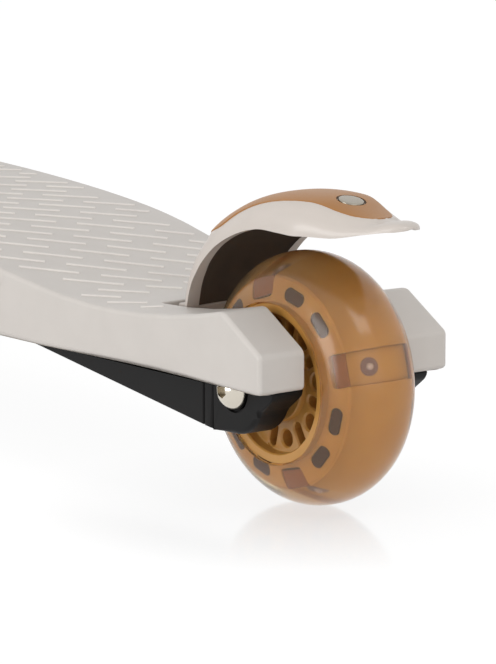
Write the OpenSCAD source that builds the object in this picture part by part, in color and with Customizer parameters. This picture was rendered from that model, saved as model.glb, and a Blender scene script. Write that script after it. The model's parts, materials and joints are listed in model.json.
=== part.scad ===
// Three-wheel kids scooter: fixed rear wheel under a stamping fender brake, two steered front
// wheels on raked kingpins, and a folding, telescopic handlebar stem.
// X points forward, Y to the rider's left, Z up. The origin is on the floor, under the middle
// of the box that bounds the scooter.

/* [Overall] */
// Distance from the rear axle to the front axle
wheelbase = 480; // [400:5:580]
// Distance between the middle planes of the two front wheels
front_track = 222; // [214:2:270]

/* [Wheels] */
// Diameter of the rear wheel
rear_wheel_d = 100; // [84:1:120]
// Width of the rear tyre
rear_tyre_w = 41.6; // [36:0.2:50]
// Width over the lips of the rear hub
rear_hub_w = 39; // [34:0.5:47]
// Diameter of the hub lip, where the tyre starts
rear_lip_d = 63; // [54:1:70]
// Diameter of a front wheel
front_wheel_d = 120; // [100:1:144]
// Width of a front tyre
front_tyre_w = 28; // [24:0.5:34]
// Width over the lips of a front hub
front_hub_w = 26; // [22:0.5:30]
// Diameter of the lip of a front hub
front_lip_d = 80; // [70:1:92]
// Holes and slots in each face of a hub
hub_holes = 8; // [6:1:10]
// Diameter of the holes in a hub
hub_hole_d = 6.8; // [5:0.2:8]
// Width of the slots in a hub
hub_slot_w = 4.6; // [3:0.2:5]

/* [Axles and bearings] */
// Diameter of the axle bolts
axle_d = 8; // [8:0.5:10]
// Diameter of the round bolt heads
bolt_head_d = 14; // [12:0.5:16]
// Height of the round bolt heads
bolt_head_h = 4.4; // [3:0.2:6]
// Outer diameter of the ball bearings
bearing_d = 22; // [20:0.5:24]
// Width of a ball bearing
bearing_w = 7; // [6:0.5:8]
// Running gap on the radius of a turning fit
running_gap = 0.05; // [0.02:0.01:0.08]

/* [Deck] */
// Width of the two rear arms together
tail_w = 92.4; // [90:0.4:112]
// Width of the deck where the feet stand
deck_w = 124; // [104:1:150]
// Width of the deck at its front end
nose_w = 112; // [94:1:120]
// Height of the lowest place of the deck surface
deck_low_z = 73; // [70:0.5:80]
// Rise of the surface from there back to the rear arms
tail_rise = 8.5; // [4:0.5:10]
// Rise of the surface from there to the front, reached slowly
nose_rise = 28; // [20:1:34]
// Height of the skirt's lower edge at the rear
skirt_z = 52.3; // [48:0.1:55]
// Height of the skirt's lower edge at the front
skirt_nose_z = 73; // [66:1:76]
// Thickness of the deck's top
deck_top_t = 4; // [3:0.5:5]
// Thickness of the deck's skirt
skirt_t = 3; // [2:0.5:3.5]
// Gap between the rear arms, round the wheel
arm_gap = 49; // [48:0.5:60]
// Reach of the rear arms behind the axle
arm_reach = 27; // [20:1:32]
// Height of the end face of the arms, at its top
arm_end_z = 67.5; // [64:0.5:70]

/* [Under frame] */
// Width of the under frame
frame_w = 76; // [70:1:90]
// Wall thickness of the under frame
frame_t = 3; // [2:0.5:4]
// Gap between the two lugs that hold the rear axle
lug_gap = 45.6; // [44:0.2:56]
// Radius of the rounded lug about the rear axle
lug_r = 17.5; // [15:0.5:18.5]
// Diameter of the screws that hold the deck
screw_d = 4; // [3:0.5:5]

/* [Brake] */
// Width of the fender over its side walls
fender_w = 47; // [42:0.5:48]
// Angle of the full press on the brake
brake_angle = 10; // [8:0.5:12]
// Wall thickness of the fender
fender_t = 3.5; // [2.5:0.5:4]
// Diameter of the fender's hinge pin
brake_pin_d = 5; // [4:0.5:6]
// Distance from the rear wheel's tread to the hinge pin
brake_pin_gap = 8; // [8:0.5:9]
// Height of the hinge pin
brake_pin_z = 62; // [60:0.5:64]
// Diameter of the stud on the fender
stud_d = 10; // [8:0.5:11]

/* [Steering] */
// Angle by which the kingpins and the stem lean back
rake = 15; // [10:1:20]
// Distance between the two kingpins
kingpin_track = 144; // [140:1:170]
// Diameter of the kingpins
kingpin_d = 8; // [7:0.5:9]
// Outer radius of a knuckle's barrel
knuckle_r = 9.5; // [9:0.5:10]
// Height of a knuckle's barrel
knuckle_h = 36; // [32:1:42]
// Height of the barrel's middle over the axle, along the kingpin
knuckle_lift = 10; // [8:1:10]
// Thickness of the fork plates above and below each knuckle
fork_t = 5; // [4:0.5:6]
// Distance from kingpin to tie bar pin
steer_arm = 24; // [22:0.5:26]
// Diameter of the tie bar pins
tie_pin_d = 6; // [5:0.5:7]

/* [Fold] */
// Height of the fold axis over the front axle, along the stem
fold_h = 74; // [72:1:80]
// Gap between the cheeks of the fold bracket
cheek_gap = 34; // [32:0.5:40]
// Thickness of a bracket cheek
cheek_t = 4; // [3:0.5:5]
// Diameter of the fold bolt
fold_bolt_d = 8; // [7:0.5:10]
// Radius of the stem foot's boss about the fold bolt
foot_r = 13; // [12:0.5:13]

/* [Stem] */
// Outer diameter of the lower tube
lower_tube_d = 32; // [30:0.5:34]
// Wall of the lower tube
lower_tube_t = 2.4; // [1.5:0.1:2.5]
// Top end of the lower tube over the fold axis
lower_tube_top = 350; // [300:5:420]
// Outer diameter of the upper tube
upper_tube_d = 25; // [22:0.5:26]
// Wall of the upper tube
upper_tube_t = 1.5; // [1:0.1:2]
// Travel of the upper tube in the lower one
height_travel = 180; // [120:5:200]

/* [Handlebar] */
// Length over both grips
bar_length = 280; // [240:5:340]
// Diameter of the crossbar
bar_d = 22; // [19:0.5:24]
// Outer diameter of a grip
grip_d = 30; // [28:0.5:34]
// Length of a grip
grip_length = 98; // [80:1:110]

/* [Hidden] */
$fn = 64;
eps = 0.01;
far = 400;

rear_r = rear_wheel_d / 2;
front_r = front_wheel_d / 2;
// The fender's tip reaches this far behind the rear axle
tail_reach = rear_r + 10.6;
rear_x = -(wheelbase + front_r - tail_reach) / 2;
front_x = rear_x + wheelbase;

// Places along the deck, from the rear axle
low_x = rear_r + 20;
nose_run = 103;
deck_end = wheelbase - 52;
slot_end = rear_r + 16;
flare_start = 20;
flare_run = 180;
nose_taper = 75;
arm_bevel_x = -3;
frame_split = slot_end + 9;
frame_end = wheelbase - 112;
wedge_end = frame_end - 28;
wedge_foot_x = 12.8;
wedge_foot_z = rear_r - lug_r - 0.5;
groove_x = [wedge_foot_x + 0.5, wedge_foot_x + 6.5];

brake_pin_end = frame_w / 2 - 1.5;
tongue_start = frame_end + 2;
tongue_w = 70;
tongue_low = skirt_nose_z - 2;
tongue_top = deck_z(tongue_start) - deck_top_t - 0.1;
bridge_screw_x = [tongue_start + 16, deck_end - 14];
bridge_screw_y = 22;

bearing_r = bearing_d / 2;
axle_r = axle_d / 2;
kingpin_r = kingpin_d / 2;
kingpin_y = kingpin_track / 2;
wheel_y = front_track / 2;
barrel_low = knuckle_lift - knuckle_h / 2;
barrel_high = knuckle_lift + knuckle_h / 2;
plate_gap = 0.5;
beam_low = barrel_low - plate_gap - fork_t;
beam_high = barrel_high + plate_gap + fork_t;
beam_back = 22;
beam_front = 12;
beam_y = kingpin_y - 12;
bush_t = 1.5;
steer_limit = 18;
tie_low = 4.5;
tie_t = 5;
tie_half = 6.5;
spring_r = 4.5;
spring_end = 38;
spring_z = tie_low + tie_t + spring_r + 2.5;
lug_half = 4;

stem_x = -2;
tube_r = lower_tube_d / 2;
tube_bore_r = tube_r - lower_tube_t;
upper_r = upper_tube_d / 2;
socket_t = 3.5;
socket_low = 22;
socket_high = 60;
tube_seat = 26;
cheek_back = 14;
collar_h = 28;
collar_t = 6;
joint_h = 46;
rest_gap = 0.3;
bar_h = lower_tube_top + rest_gap + collar_t + joint_h / 2;
joint_low = bar_h - joint_h / 2;
handle_screw_h = joint_low + 5;
insert_left = 70;
cam_r = 8;

function smooth(t) = let (u = max(0, min(1, t))) u * u * (3 - 2 * u);
function deck_z(x) = deck_low_z
    + (x < low_x ? tail_rise * pow(min(1, (low_x - x) / (low_x + 3)), 2)
                 : let (s = pow((x - low_x) / nose_run, 2)) nose_rise * s / (1 + s));
function deck_half(x) = tail_w / 2 + (deck_w - tail_w) / 2 * smooth((x - flare_start) / flare_run)
    - (deck_w - nose_w) / 2 * pow(max(0, (x - deck_end + nose_taper) / nose_taper), 2);
function skirt_low(x) = skirt_z + (skirt_nose_z - skirt_z) * smooth((x - 110) / (deck_end - 110));
function span(a, b, n) = [for (i = [0:n]) a + (b - a) * i / n];

module rear_frame() translate([rear_x, 0, 0]) children();
// A frame at the middle of the front axle, its Z axis along the raked kingpins
module raked() translate([front_x, 0, front_r]) rotate([0, -rake, 0]) children();
module raked_side(side) raked() translate([0, side * kingpin_y, 0]) children();
module brake_axis() translate([rear_r + brake_pin_gap, 0, brake_pin_z]) children();
module stem() raked() translate([stem_x, 0, fold_h]) children();
// An outline in X and Z, given its width along Y about the middle plane
module slab(width) rotate([90, 0, 0]) translate([0, 0, -width / 2]) linear_extrude(width) children();
module along_y(r, from, to) translate([0, from, 0]) rotate([-90, 0, 0]) cylinder(r = r, h = to - from);
module along_x(r, from, to) translate([from, 0, 0]) rotate([0, 90, 0]) cylinder(r = r, h = to - from);
module tube(outer, inner, h) difference() {
    cylinder(r = outer, h = h);
    translate([0, 0, -1]) cylinder(r = inner, h = h + 2);
}
// A section in radius and offset, turned about the Y axis
module turn_y() rotate([-90, 0, 0]) rotate_extrude($fn = 96) children();
module block(x0, x1, y0, y1, z0, z1) translate([x0, y0, z0]) cube([x1 - x0, y1 - y0, z1 - z0]);

// Deck
module deck_side(drop, lift) {
    xs = span(arm_bevel_x, deck_end - lift, 26);
    polygon(concat([[-arm_reach + lift, skirt_z - (lift > 0 ? 9 : 0)],
                    [-arm_reach + lift, arm_end_z - drop * 1.2]],
        [for (x = xs) [x, deck_z(x) - drop]],
        [for (i = [8:-1:0]) let (x = 110 + (deck_end - lift - 110) * i / 8)
            [x, skirt_low(x) - (lift > 0 ? 9 : 0)]]));
}
module deck_plan(inset) {
    xs = span(flare_start, deck_end - inset, 22);
    polygon(concat([[-arm_reach + inset, -tail_w / 2 + inset]],
        [for (x = xs) [x, -deck_half(x) + inset]],
        [for (i = [len(xs) - 1:-1:0]) [xs[i], deck_half(xs[i]) - inset]],
        [[-arm_reach + inset, tail_w / 2 - inset]]));
}
deck_screw_x = [for (i = [0:2]) slot_end + 34 + i * (frame_end - slot_end - 60) / 2];
screw_y = 28;
module deck() color("#cbc6c0") rear_frame() {
    difference() {
        intersection() {
            slab(far) deck_side(0, 0);
            linear_extrude(far) deck_plan(0);
        }
        difference() {
            intersection() {
                slab(far) deck_side(deck_top_t, skirt_t);
                linear_extrude(far) deck_plan(skirt_t);
            }
            block(-far, slot_end + skirt_t, -arm_gap / 2 - skirt_t, arm_gap / 2 + skirt_t, 0, far);
        }
        block(-far, slot_end, -arm_gap / 2, arm_gap / 2, 0, far);
        brake_axis() along_y(brake_pin_d / 2, -frame_w / 2, frame_w / 2);
        translate([0, 0, rear_r]) along_y(axle_r + 0.3, -frame_w / 2, frame_w / 2);
        block(deck_end - skirt_t - 1, far * 2, -tongue_w / 2 - 1, tongue_w / 2 + 1, 0, tongue_top + 1);
        for (x = bridge_screw_x, side = [-1, 1]) translate([x, side * bridge_screw_y, tongue_top - 2])
            cylinder(r = screw_d / 2, h = 5);
    }
    for (x = deck_screw_x, side = [-1, 1]) difference() {
        translate([x, side * screw_y, skirt_low(x) + 10])
            cylinder(r = screw_d / 2 + 2.5, h = deck_z(x) - skirt_low(x) - 10 - deck_top_t + 1);
        translate([x, side * screw_y, 0]) cylinder(r = screw_d / 2, h = skirt_low(x) + 19);
    }
}

// Under frame, with the lugs that hold the rear axle
module frame_side(lift) {
    xs = span(wedge_end, frame_end - lift, 6);
    tops = span(frame_split, frame_end - lift, 10);
    polygon(concat([[lift, rear_r - lug_r + lift], [wedge_foot_x, wedge_foot_z + lift]],
        [for (x = xs) [x, skirt_low(x) + 1.5 + lift]],
        [for (i = [len(tops) - 1:-1:0]) [tops[i], deck_z(tops[i]) - deck_top_t - 0.5]],
        [[frame_split, rear_r + 16], [lift, rear_r + 16]]));
}
module under_frame() color("#2b2727") rear_frame() {
    tongue = arm_gap / 2 + skirt_t + 0.3;
    difference() {
        union() {
            slab(frame_w) frame_side(0);
            translate([0, 0, rear_r]) along_y(lug_r, -frame_w / 2, frame_w / 2);
            slab(frame_w) polygon([[0, skirt_z - 12], [-16, rear_r - 7], [-24.5, rear_r - 0.5],
                [-25, skirt_z - 0.2], [0, skirt_z - 0.2]]);
        }
        block(-far, frame_split, -lug_gap / 2, lug_gap / 2, 0, far);
        block(-far, slot_end + skirt_t + 0.3, -tongue, tongue, skirt_z - 0.1, far);
        intersection() {
            slab(frame_w - 2 * frame_t) frame_side(frame_t);
            block(frame_split + frame_t, frame_end - frame_t, -far, far, 0, far);
        }
        translate([0, 0, rear_r]) along_y(axle_r, -far, far);
        brake_axis() along_y(brake_pin_d / 2, -brake_pin_end, brake_pin_end);
        for (side = [-1, 1], x = groove_x) translate([x, side * frame_w / 2, 0])
            block(-0.4, 0.4, -0.8, 0.8, 0, skirt_z);
        for (x = deck_screw_x, side = [-1, 1]) translate([x, side * screw_y, 0]) {
            cylinder(r = screw_d / 2 + 0.2, h = far);
            cylinder(r = screw_d + 0.3, h = frame_floor(x) + sunk);
        }
    }
    for (x = deck_screw_x, side = [-1, 1]) translate([x, side * screw_y, 0]) difference() {
        translate([0, 0, frame_floor(x) + eps])
            cylinder(r = screw_d + 2, h = skirt_low(x) + 10 - frame_floor(x) - eps);
        cylinder(r = screw_d / 2 + 0.2, h = far);
        cylinder(r = screw_d + 0.3, h = frame_floor(x) + sunk);
    }
}
// Height over the frame's outer face at which a deck screw's head seats, sunk in the frame
sunk = 3.6;
// Height of the under frame's outer face below a place, on its wedge or on its flat
function frame_floor(x) = x < wedge_end
    ? wedge_foot_z + (skirt_low(wedge_end) + 1.5 - wedge_foot_z) * (x - wedge_foot_x)
        / (wedge_end - wedge_foot_x)
    : skirt_low(x) + 1.5;
module deck_screws() color("#b9b6b0") rear_frame()
    for (x = deck_screw_x, side = [-1, 1]) translate([x, side * screw_y, 0]) {
        translate([0, 0, frame_floor(x) + sunk - 1])
            cylinder(r = screw_d / 2, h = skirt_low(x) + 19 - frame_floor(x) - sunk);
        translate([0, 0, frame_floor(x) + sunk - 2.4]) cylinder(r = screw_d, h = 2.4);
    }
module bridge_screws() color("#b9b6b0") rear_frame()
    for (x = bridge_screw_x, side = [-1, 1]) translate([x, side * bridge_screw_y, tongue_top]) {
        translate([0, 0, -5]) cylinder(r = screw_d / 2, h = 8);
        translate([0, 0, -6.4]) cylinder(r = screw_d, h = 2.4);
    }

// Rear axle
head_seat = frame_w / 2;
module button_head(r, h) difference() {
    rotate_extrude() intersection() {
        translate([0, h - (r * r + h * h) / (2 * h)]) circle(r = (r * r + h * h) / (2 * h));
        square([r, h]);
    }
    translate([0, 0, h / 2]) cylinder(r = 2.9, h = h, $fn = 6);
}
module rear_axle_bolt() color("#c9c4b8") rear_frame() translate([0, 0, rear_r]) {
    along_y(axle_r, -head_seat + 6, head_seat);
    translate([0, head_seat, 0]) rotate([-90, 0, 0]) button_head(bolt_head_d / 2, bolt_head_h);
}
module rear_axle_nut() color("#c9c4b8") rear_frame() translate([0, 0, rear_r]) {
    translate([0, -head_seat, 0]) rotate([90, 0, 0]) button_head(bolt_head_d / 2, bolt_head_h);
    along_y(axle_r, -head_seat, -head_seat + 6);
}
rear_bearing_in = rear_hub_w / 2 - 0.5 - bearing_w;
module rear_axle_spacers() color("#9a9894") rear_frame() translate([0, 0, rear_r]) {
    rotate([90, 0, 0]) translate([0, 0, -rear_bearing_in + 0.05])
        tube(axle_r + 1.8, axle_r, 2 * rear_bearing_in - 0.1);
    for (side = [0, 1]) mirror([0, side, 0]) rotate([90, 0, 0])
        translate([0, 0, rear_bearing_in + bearing_w + 0.05])
            tube(axle_r + 2.5, axle_r, lug_gap / 2 - rear_bearing_in - bearing_w - 0.05);
}
module rear_magnet() color("#55524e") rear_frame() translate([0, 0, rear_r])
    rotate([90, 0, 0]) translate([0, 0, -5]) tube(bearing_r - 2, axle_r + 1.8, 10);

// Wheels, about their own middle with the axle along Y
hub_turn = 9;
light_turn = 15.5;
function hub_section(lip_r, half_w, bore_r, core_r, seat) = let (face = half_w - 4.5, rim = lip_r - 4) [
    [bore_r - 1, -seat], [bore_r, -seat], [bore_r, -seat - bearing_w], [bore_r + 4, -seat - bearing_w],
    [bore_r + 4, -face], [rim, -face], [rim, -half_w], [lip_r, -half_w], [lip_r, -face],
    [core_r, -face + 2], [core_r, face - 2], [lip_r, face], [lip_r, half_w], [rim, half_w], [rim, face],
    [bore_r + 4, face], [bore_r + 4, seat + bearing_w], [bore_r, seat + bearing_w], [bore_r, seat],
    [bore_r - 1, seat]];
module hub(lip_r, half_w, core_r) {
    face = half_w - 4.5;
    rim = lip_r - 4;
    seat = half_w - 0.5 - bearing_w;
    mid_r = (bearing_r + 4 + rim) / 2;
    slot_len = rim - bearing_r - 7;
    difference() {
        turn_y() polygon(hub_section(lip_r, half_w, bearing_r, core_r, seat));
        for (i = [0:hub_holes - 1], side = [-1, 1]) rotate([0, hub_turn + i * 360 / hub_holes, 0]) {
            translate([mid_r + 1, side * face, 0]) along_y(hub_hole_d / 2, -5, 5);
            rotate([0, 180 / hub_holes, 0]) block(mid_r - slot_len / 2, mid_r + slot_len / 2,
                side * face - 5, side * face + 5, -hub_slot_w / 2, hub_slot_w / 2);
        }
        for (i = [0:3]) rotate([0, light_turn + 90 * i, 0])
            block(core_r - 6, core_r + 1, -half_w, half_w, -5, 5);
    }
}
// Elliptic tyre moulded over the core
module tyre(r, half_w, lip_r, hub_half, core_r) {
    face = hub_half - 4.5;
    turn_y() polygon(concat([for (a = [-90:7.5:90]) [lip_r + (r - lip_r) * cos(a), half_w * sin(a)]],
        [[lip_r, face], [core_r, face - 2], [core_r, -face + 2], [lip_r, -face]]));
}
module bearings(seat) for (side = [0, 1]) mirror([0, side, 0])
    rotate([-90, 0, 0]) translate([0, 0, seat]) tube(bearing_r, axle_r + running_gap, bearing_w);
module lights(core_r) for (i = [0:3]) rotate([0, light_turn + 90 * i, 0]) {
    block(core_r - 6, core_r - 2.5, -4.9, 4.9, -4.9, 4.9);
    along_x(1.5, core_r - 2.5, core_r);
}
rear_core_r = rear_r - 10;
front_core_r = front_r - 9;
module rear_wheel_place() rear_frame() translate([0, 0, rear_r]) children();
module rear_hub() color("#b07a42") rear_wheel_place() hub(rear_lip_d / 2, rear_hub_w / 2, rear_core_r);
module rear_tyre() color("#b98246") rear_wheel_place()
    tyre(rear_r, rear_tyre_w / 2, rear_lip_d / 2, rear_hub_w / 2, rear_core_r);
module rear_bearings() color("#8f8d8a") rear_wheel_place() bearings(rear_bearing_in);
module rear_lights() color("#e6e2da") rear_wheel_place() lights(rear_core_r);

// Brake fender: an arched shell swept along the crown line, and its hinge
// Each place is ahead of the axle, height, depth and half width of the arch, and how flat its crown is
fender_line = let (top = 2 * rear_r, w = fender_w / 2) [
    [rear_r + 10, deck_low_z, 9.3, w, 2], [rear_r + 8.3, deck_low_z + 11, 10.6, w, 2],
    [rear_r + 5.3, top - 7.2, 12.1, w, 2], [rear_r - 0.2, top + 0.8, 12.5, w, 2],
    [rear_r - 9.8, top + 9.2, 12.5, w, 2], [28.8, top + 15.4, 12.3, w, 2.1],
    [17, top + 19.7, 12.2, w, 2.3], [5, top + 22.2, 12.2, w, 2.4], [-8, top + 23, 12.9, w, 2.5],
    [-20, top + 22.3, 12.6, w - 1.2, 2.5], [-34, top + 18.8, 8.8, w - 6.5, 2.3],
    [-45, top + 17, 4.4, 12, 2], [-53, top + 17.9, 3.6, 8.3, 2], [-tail_reach, top + 17.4, 2.6, 5, 2]];
fender_steps = 12;
function unit(v) = v / norm(v);
function fender_normal(i) = let (n = len(fender_line) - 1, a = fender_line[max(0, i - 1)],
    b = fender_line[min(n, i + 1)], t = unit([b[0] - a[0], b[1] - a[1]])) i == 0 ? [1, 0] : [-t[1], t[0]] * -1;
// Point of an arch at one place, sunk by a depth under its outer face
function arch_point(i, angle, sink) = let (p = fender_line[i], n = fender_normal(i),
    across = sign(angle) * pow(abs(sin(angle)), 2 / p[4]), drop = 1 - pow(max(0, cos(angle)), 2 / p[4]),
    half = p[3] - sink, depth = sink + (p[2] - sink) * drop)
    [p[0] - n[0] * depth, half * across, p[1] - n[1] * depth];
function arch_ring(i, limit, outer, inner) = concat(
    [for (k = [0:fender_steps]) arch_point(i, limit * (2 * k / fender_steps - 1), outer)],
    [for (k = [fender_steps:-1:0]) arch_point(i, limit * (2 * k / fender_steps - 1), inner)]);
module arch_shell(first, last, limit, outer, inner) {
    ring = 2 * fender_steps + 2;
    rings = last - first;
    points = [for (i = [first:last]) each arch_ring(i, limit, outer, inner)];
    sides = [for (i = [0:rings - 1], k = [0:ring - 1]) let (a = i * ring + k, b = i * ring + (k + 1) % ring)
        each [[a, b, b + ring], [a, b + ring, a + ring]]];
    caps = [for (k = [0:fender_steps - 1]) let (o = k, m = ring - 1 - k, z = rings * ring)
        each [[o, m, m - 1], [o, m - 1, o + 1], [z + o, z + m - 1, z + m], [z + o, z + o + 1, z + m - 1]]];
    polyhedron(points, concat(sides, caps));
}
stud_shank_r = 2.5;
pad_top = 2 * rear_r + 15.3;
// The stud stands square on the fender's crown
stud_x = -23.6;
stud_z = 2 * rear_r + 21.4;
stud_tilt = 14;
module stud_axis() rear_frame() translate([stud_x, 0, stud_z]) rotate([0, -stud_tilt, 0]) children();
hinge_r = 6.8;
hinge_half = 19;
module brake_fender() color("#d6ccc4") difference() {
    rear_frame() arch_shell(0, len(fender_line) - 1, 90, 0, fender_t);
    stud_axis() translate([0, 0, -10]) cylinder(r = stud_shank_r, h = 20);
}
// Foot that carries the fender on its pin, with room for the spring between two bosses
module brake_hinge() color("#d6ccc4") rear_frame() brake_axis() difference() {
    union() {
        along_y(hinge_r, -hinge_half, hinge_half);
        block(-4.5, 4.5, -hinge_half, hinge_half, 0, deck_low_z - 0.1 - brake_pin_z);
    }
    along_y(brake_pin_d / 2 + running_gap, -far, far);
    block(-far, far, -8, 8, -far, hinge_r + 0.4);
}
// Insert on the fender, lying along its arch, wide at the front and round at its rear end
leaf_front = rear_r + 2;
leaf_back = -44.5;
leaf_swell = 22;
function leaf_half(x) = 3.55 * pow(max(0, x - leaf_back), 0.41)
    * sqrt(max(0, 1 - pow(max(0, x - leaf_front + leaf_swell) / leaf_swell, 2)));
module fender_insert() color("#b4824f") difference() {
    intersection() {
        rear_frame() arch_shell(2, 11, 74, -1.1, -0.1);
        rear_frame() linear_extrude(far) polygon(concat(
            [for (x = leaf_steps) [x, -leaf_half(x)]],
            [for (i = [len(leaf_steps) - 1:-1:0]) [leaf_steps[i], leaf_half(leaf_steps[i])]]));
    }
    stud_axis() translate([0, 0, -10]) cylinder(r = stud_d / 2 + 0.85, h = 20);
}
leaf_steps = [for (i = [1:23]) leaf_back + (leaf_front - leaf_back) * (1 - cos(7.5 * i)) / 2];
module fender_stud() color("#c9c4b8") stud_axis() {
    translate([0, 0, -13]) cylinder(r = stud_shank_r, h = 13.5);
    translate([0, 0, 0.15]) cylinder(r = stud_d / 2, h = 0.9);
}
// The wheel's centre as it lies in the fender's frame at full press
pressed = let (x = -rear_r - brake_pin_gap, z = rear_r - brake_pin_z)
    [rear_r + brake_pin_gap + x * cos(brake_angle) + z * sin(brake_angle),
     brake_pin_z - x * sin(brake_angle) + z * cos(brake_angle)];
pressed_top = pressed[1] + rear_r;
// Pad of rubber, flat below, that just meets the tyre at full press
pad_w = 18;
pad_front = 8;
pad_back = -30;
pad_heel = -18;
pad_gap = 0.4;
module brake_pad() color("#3a3634") difference() {
    union() {
        rear_frame() slab(pad_w) polygon([[pad_front, pad_top], [pad_back, pad_top], [pad_back, pad_top - 3.3],
            [pad_heel, pressed_top + pad_gap], [pad_front, pressed_top + pad_gap]]);
        stud_axis() translate([0, 0, -8]) cylinder(r = 4.5, h = 8 - fender_t - 1.4);
    }
    stud_axis() translate([0, 0, -16]) cylinder(r = stud_shank_r, h = 20);
}
module brake_pin() color("#b9b6b0") rear_frame() brake_axis()
    along_y(brake_pin_d / 2, -brake_pin_end, brake_pin_end);
module brake_spring() color("#8f8d8a") rear_frame() brake_axis()
    rotate([90, 0, 0]) translate([0, 0, -7.4]) tube(brake_pin_d / 2 + 2.2, brake_pin_d / 2 + 0.4, 14.8);

// Front bridge: beam, forks for the knuckles, and a tongue into the deck
module front_bridge() color("#2b2727") {
    difference() {
        union() {
            raked() block(-beam_back, beam_front, -beam_y, beam_y, beam_low, beam_high);
            for (side = [-1, 1]) raked_side(side)
                for (z = [beam_low, barrel_high + plate_gap]) {
                    translate([0, 0, z]) cylinder(r = knuckle_r + 1.5, h = fork_t);
                    block(-knuckle_r - 1.5, knuckle_r + 1.5, side > 0 ? -14 : 0, side > 0 ? 0 : 14,
                        z, z + fork_t);
                }
            rear_frame() {
                block(tongue_start, wheelbase - 34, -tongue_w / 2, tongue_w / 2, tongue_low, tongue_top);
                block(tongue_start, wheelbase - 24, -tongue_w / 2, tongue_w / 2, tongue_low, tongue_low + 13);
                for (side = [-1, 1]) translate([cover_screw_x, side * cover_screw_y, cover_top - cover_t - 14])
                    cylinder(r = 5, h = 14 - 0.5);
            }
            raked() for (side = [-1, 1]) block(beam_front - eps, steer_arm + spring_r, side * spring_end - 2,
                side * spring_end + 2, tie_low + tie_t + 1.5, spring_z + spring_r);
        }
        raked() block(-beam_back + 4, beam_front - 4, -beam_y + 6, beam_y - 6, beam_low - 1, beam_high - 8);
        rear_frame() block(tongue_start + 4, wheelbase - 50, -tongue_w / 2 + 4, tongue_w / 2 - 4,
            0, tongue_top - 4);
        rear_frame() for (x = bridge_screw_x, side = [-1, 1])
            translate([x, side * bridge_screw_y, 0]) cylinder(r = screw_d / 2 + 0.2, h = far);
        rear_frame() for (side = [-1, 1]) translate([cover_screw_x, side * cover_screw_y, cover_top - 16])
            cylinder(r = 2, h = 20);
        for (side = [-1, 1]) raked_side(side) translate([0, 0, beam_low - 1]) cylinder(r = kingpin_r, h = far);
        raked() for (x = bracket_bolt_x, side = [-1, 1]) translate([x, side * bracket_bolt_y, beam_high - 9])
            cylinder(r = 3, h = 20);
    }
}
bracket_bolt_x = [-14, 6];
bracket_bolt_y = 27;

// Cover over the bridge
cover_t = 3;
cover_back = deck_end + 0.5;
cover_front = wheelbase + 36;
function cover_z(x) = let (top = deck_z(deck_end), u = (x - cover_back) / (cover_front - cover_back))
    top + 5.5 * smooth(u / 0.5) - 26 * pow(max(0, (u - 0.5) / 0.5), 2.6);
module cover_side(drop) {
    xs = span(cover_back - (drop > 0 ? 1 : 0), cover_front - drop, 16);
    polygon(concat([[xs[0], front_r + 8 + (drop > 0 ? -5 : 0)]], [for (x = xs) [x, cover_z(x) - drop]],
        [[cover_front - drop, front_r + 8 + (drop > 0 ? -5 : 0)]]));
}
cover_half = kingpin_y + 12;
cover_screw_x = (cover_back + cover_front) / 2;
cover_screw_y = 48;
cover_top = cover_z(cover_screw_x);
module front_cover() color("#cbc6c0") {
    difference() {
        rear_frame() difference() {
            intersection() {
                slab(far) cover_side(0);
                linear_extrude(far) polygon([[cover_back, -nose_w / 2], [cover_back + 22, -cover_half + 4],
                    [cover_back + 32, -cover_half], [cover_front - 10, -cover_half], [cover_front, -cover_half + 12],
                    [cover_front, cover_half - 12], [cover_front - 10, cover_half], [cover_back + 32, cover_half],
                    [cover_back + 22, cover_half - 4], [cover_back, nose_w / 2]]);
            }
            slab(far) cover_side(cover_t);
        }
        raked() block(-beam_back - 2, beam_front + 8, -36, 36, beam_high - 6, far);
        rear_frame() for (side = [-1, 1]) translate([cover_screw_x, side * cover_screw_y, 0])
            cylinder(r = 2.2, h = far);
    }
}
module cover_screws() color("#b9b6b0") rear_frame() for (side = [-1, 1])
    translate([cover_screw_x, side * cover_screw_y, cover_top]) {
        translate([0, 0, -14]) cylinder(r = 2, h = 15);
        translate([0, 0, 0.1]) cylinder(r = 4, h = 2);
    }

// Steering
module kingpins() color("#b9b6b0") for (side = [-1, 1]) raked_side(side) {
    translate([0, 0, beam_low - 6]) cylinder(r = kingpin_r, h = beam_high - beam_low + 6);
    translate([0, 0, beam_high]) cylinder(r = kingpin_r + 2.5, h = 4.5);
    translate([0, 0, beam_low - 6.5]) cylinder(r = kingpin_r + 3.2, h = 6.5, $fn = 6);
}
module steering_springs() color("#8f8d8a") for (side = [0, 1]) mirror([0, side, 0])
    raked() translate([steer_arm, 0, spring_z]) rotate([-90, 0, 0]) translate([0, 0, lug_half + 0.2])
        tube(spring_r, spring_r - 1.2, spring_end - 2 - lug_half - 0.4);
hub_in_y = wheel_y - front_hub_w / 2 + 0.5;
module knuckle(side) raked_side(side) mirror([0, side < 0 ? 1 : 0, 0]) difference() {
    union() {
        translate([0, 0, barrel_low]) cylinder(r = knuckle_r, h = knuckle_h);
        along_y(7.6, 0, hub_in_y - kingpin_y - 8);
        along_y(axle_r + 2, 0, hub_in_y - kingpin_y - 0.05);
        block(0, steer_arm, -6, 6, -4, 4);
        translate([steer_arm, 0, -4]) cylinder(r = 6, h = 8);
        translate([steer_arm, 0, 3]) cylinder(r = tie_pin_d / 2, h = tie_low + tie_t - 1.2);
    }
    for (z = [barrel_low, barrel_high - 10]) translate([0, 0, z - eps])
        cylinder(r = kingpin_r + bush_t, h = 10 + 2 * eps);
    translate([0, 0, barrel_low - 1]) cylinder(r = kingpin_r + 0.6, h = knuckle_h + 2);
    along_y(axle_r, kingpin_r + 6, far);
}
module left_knuckle() color("#35312f") knuckle(1);
module right_knuckle() color("#35312f") knuckle(-1);
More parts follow.
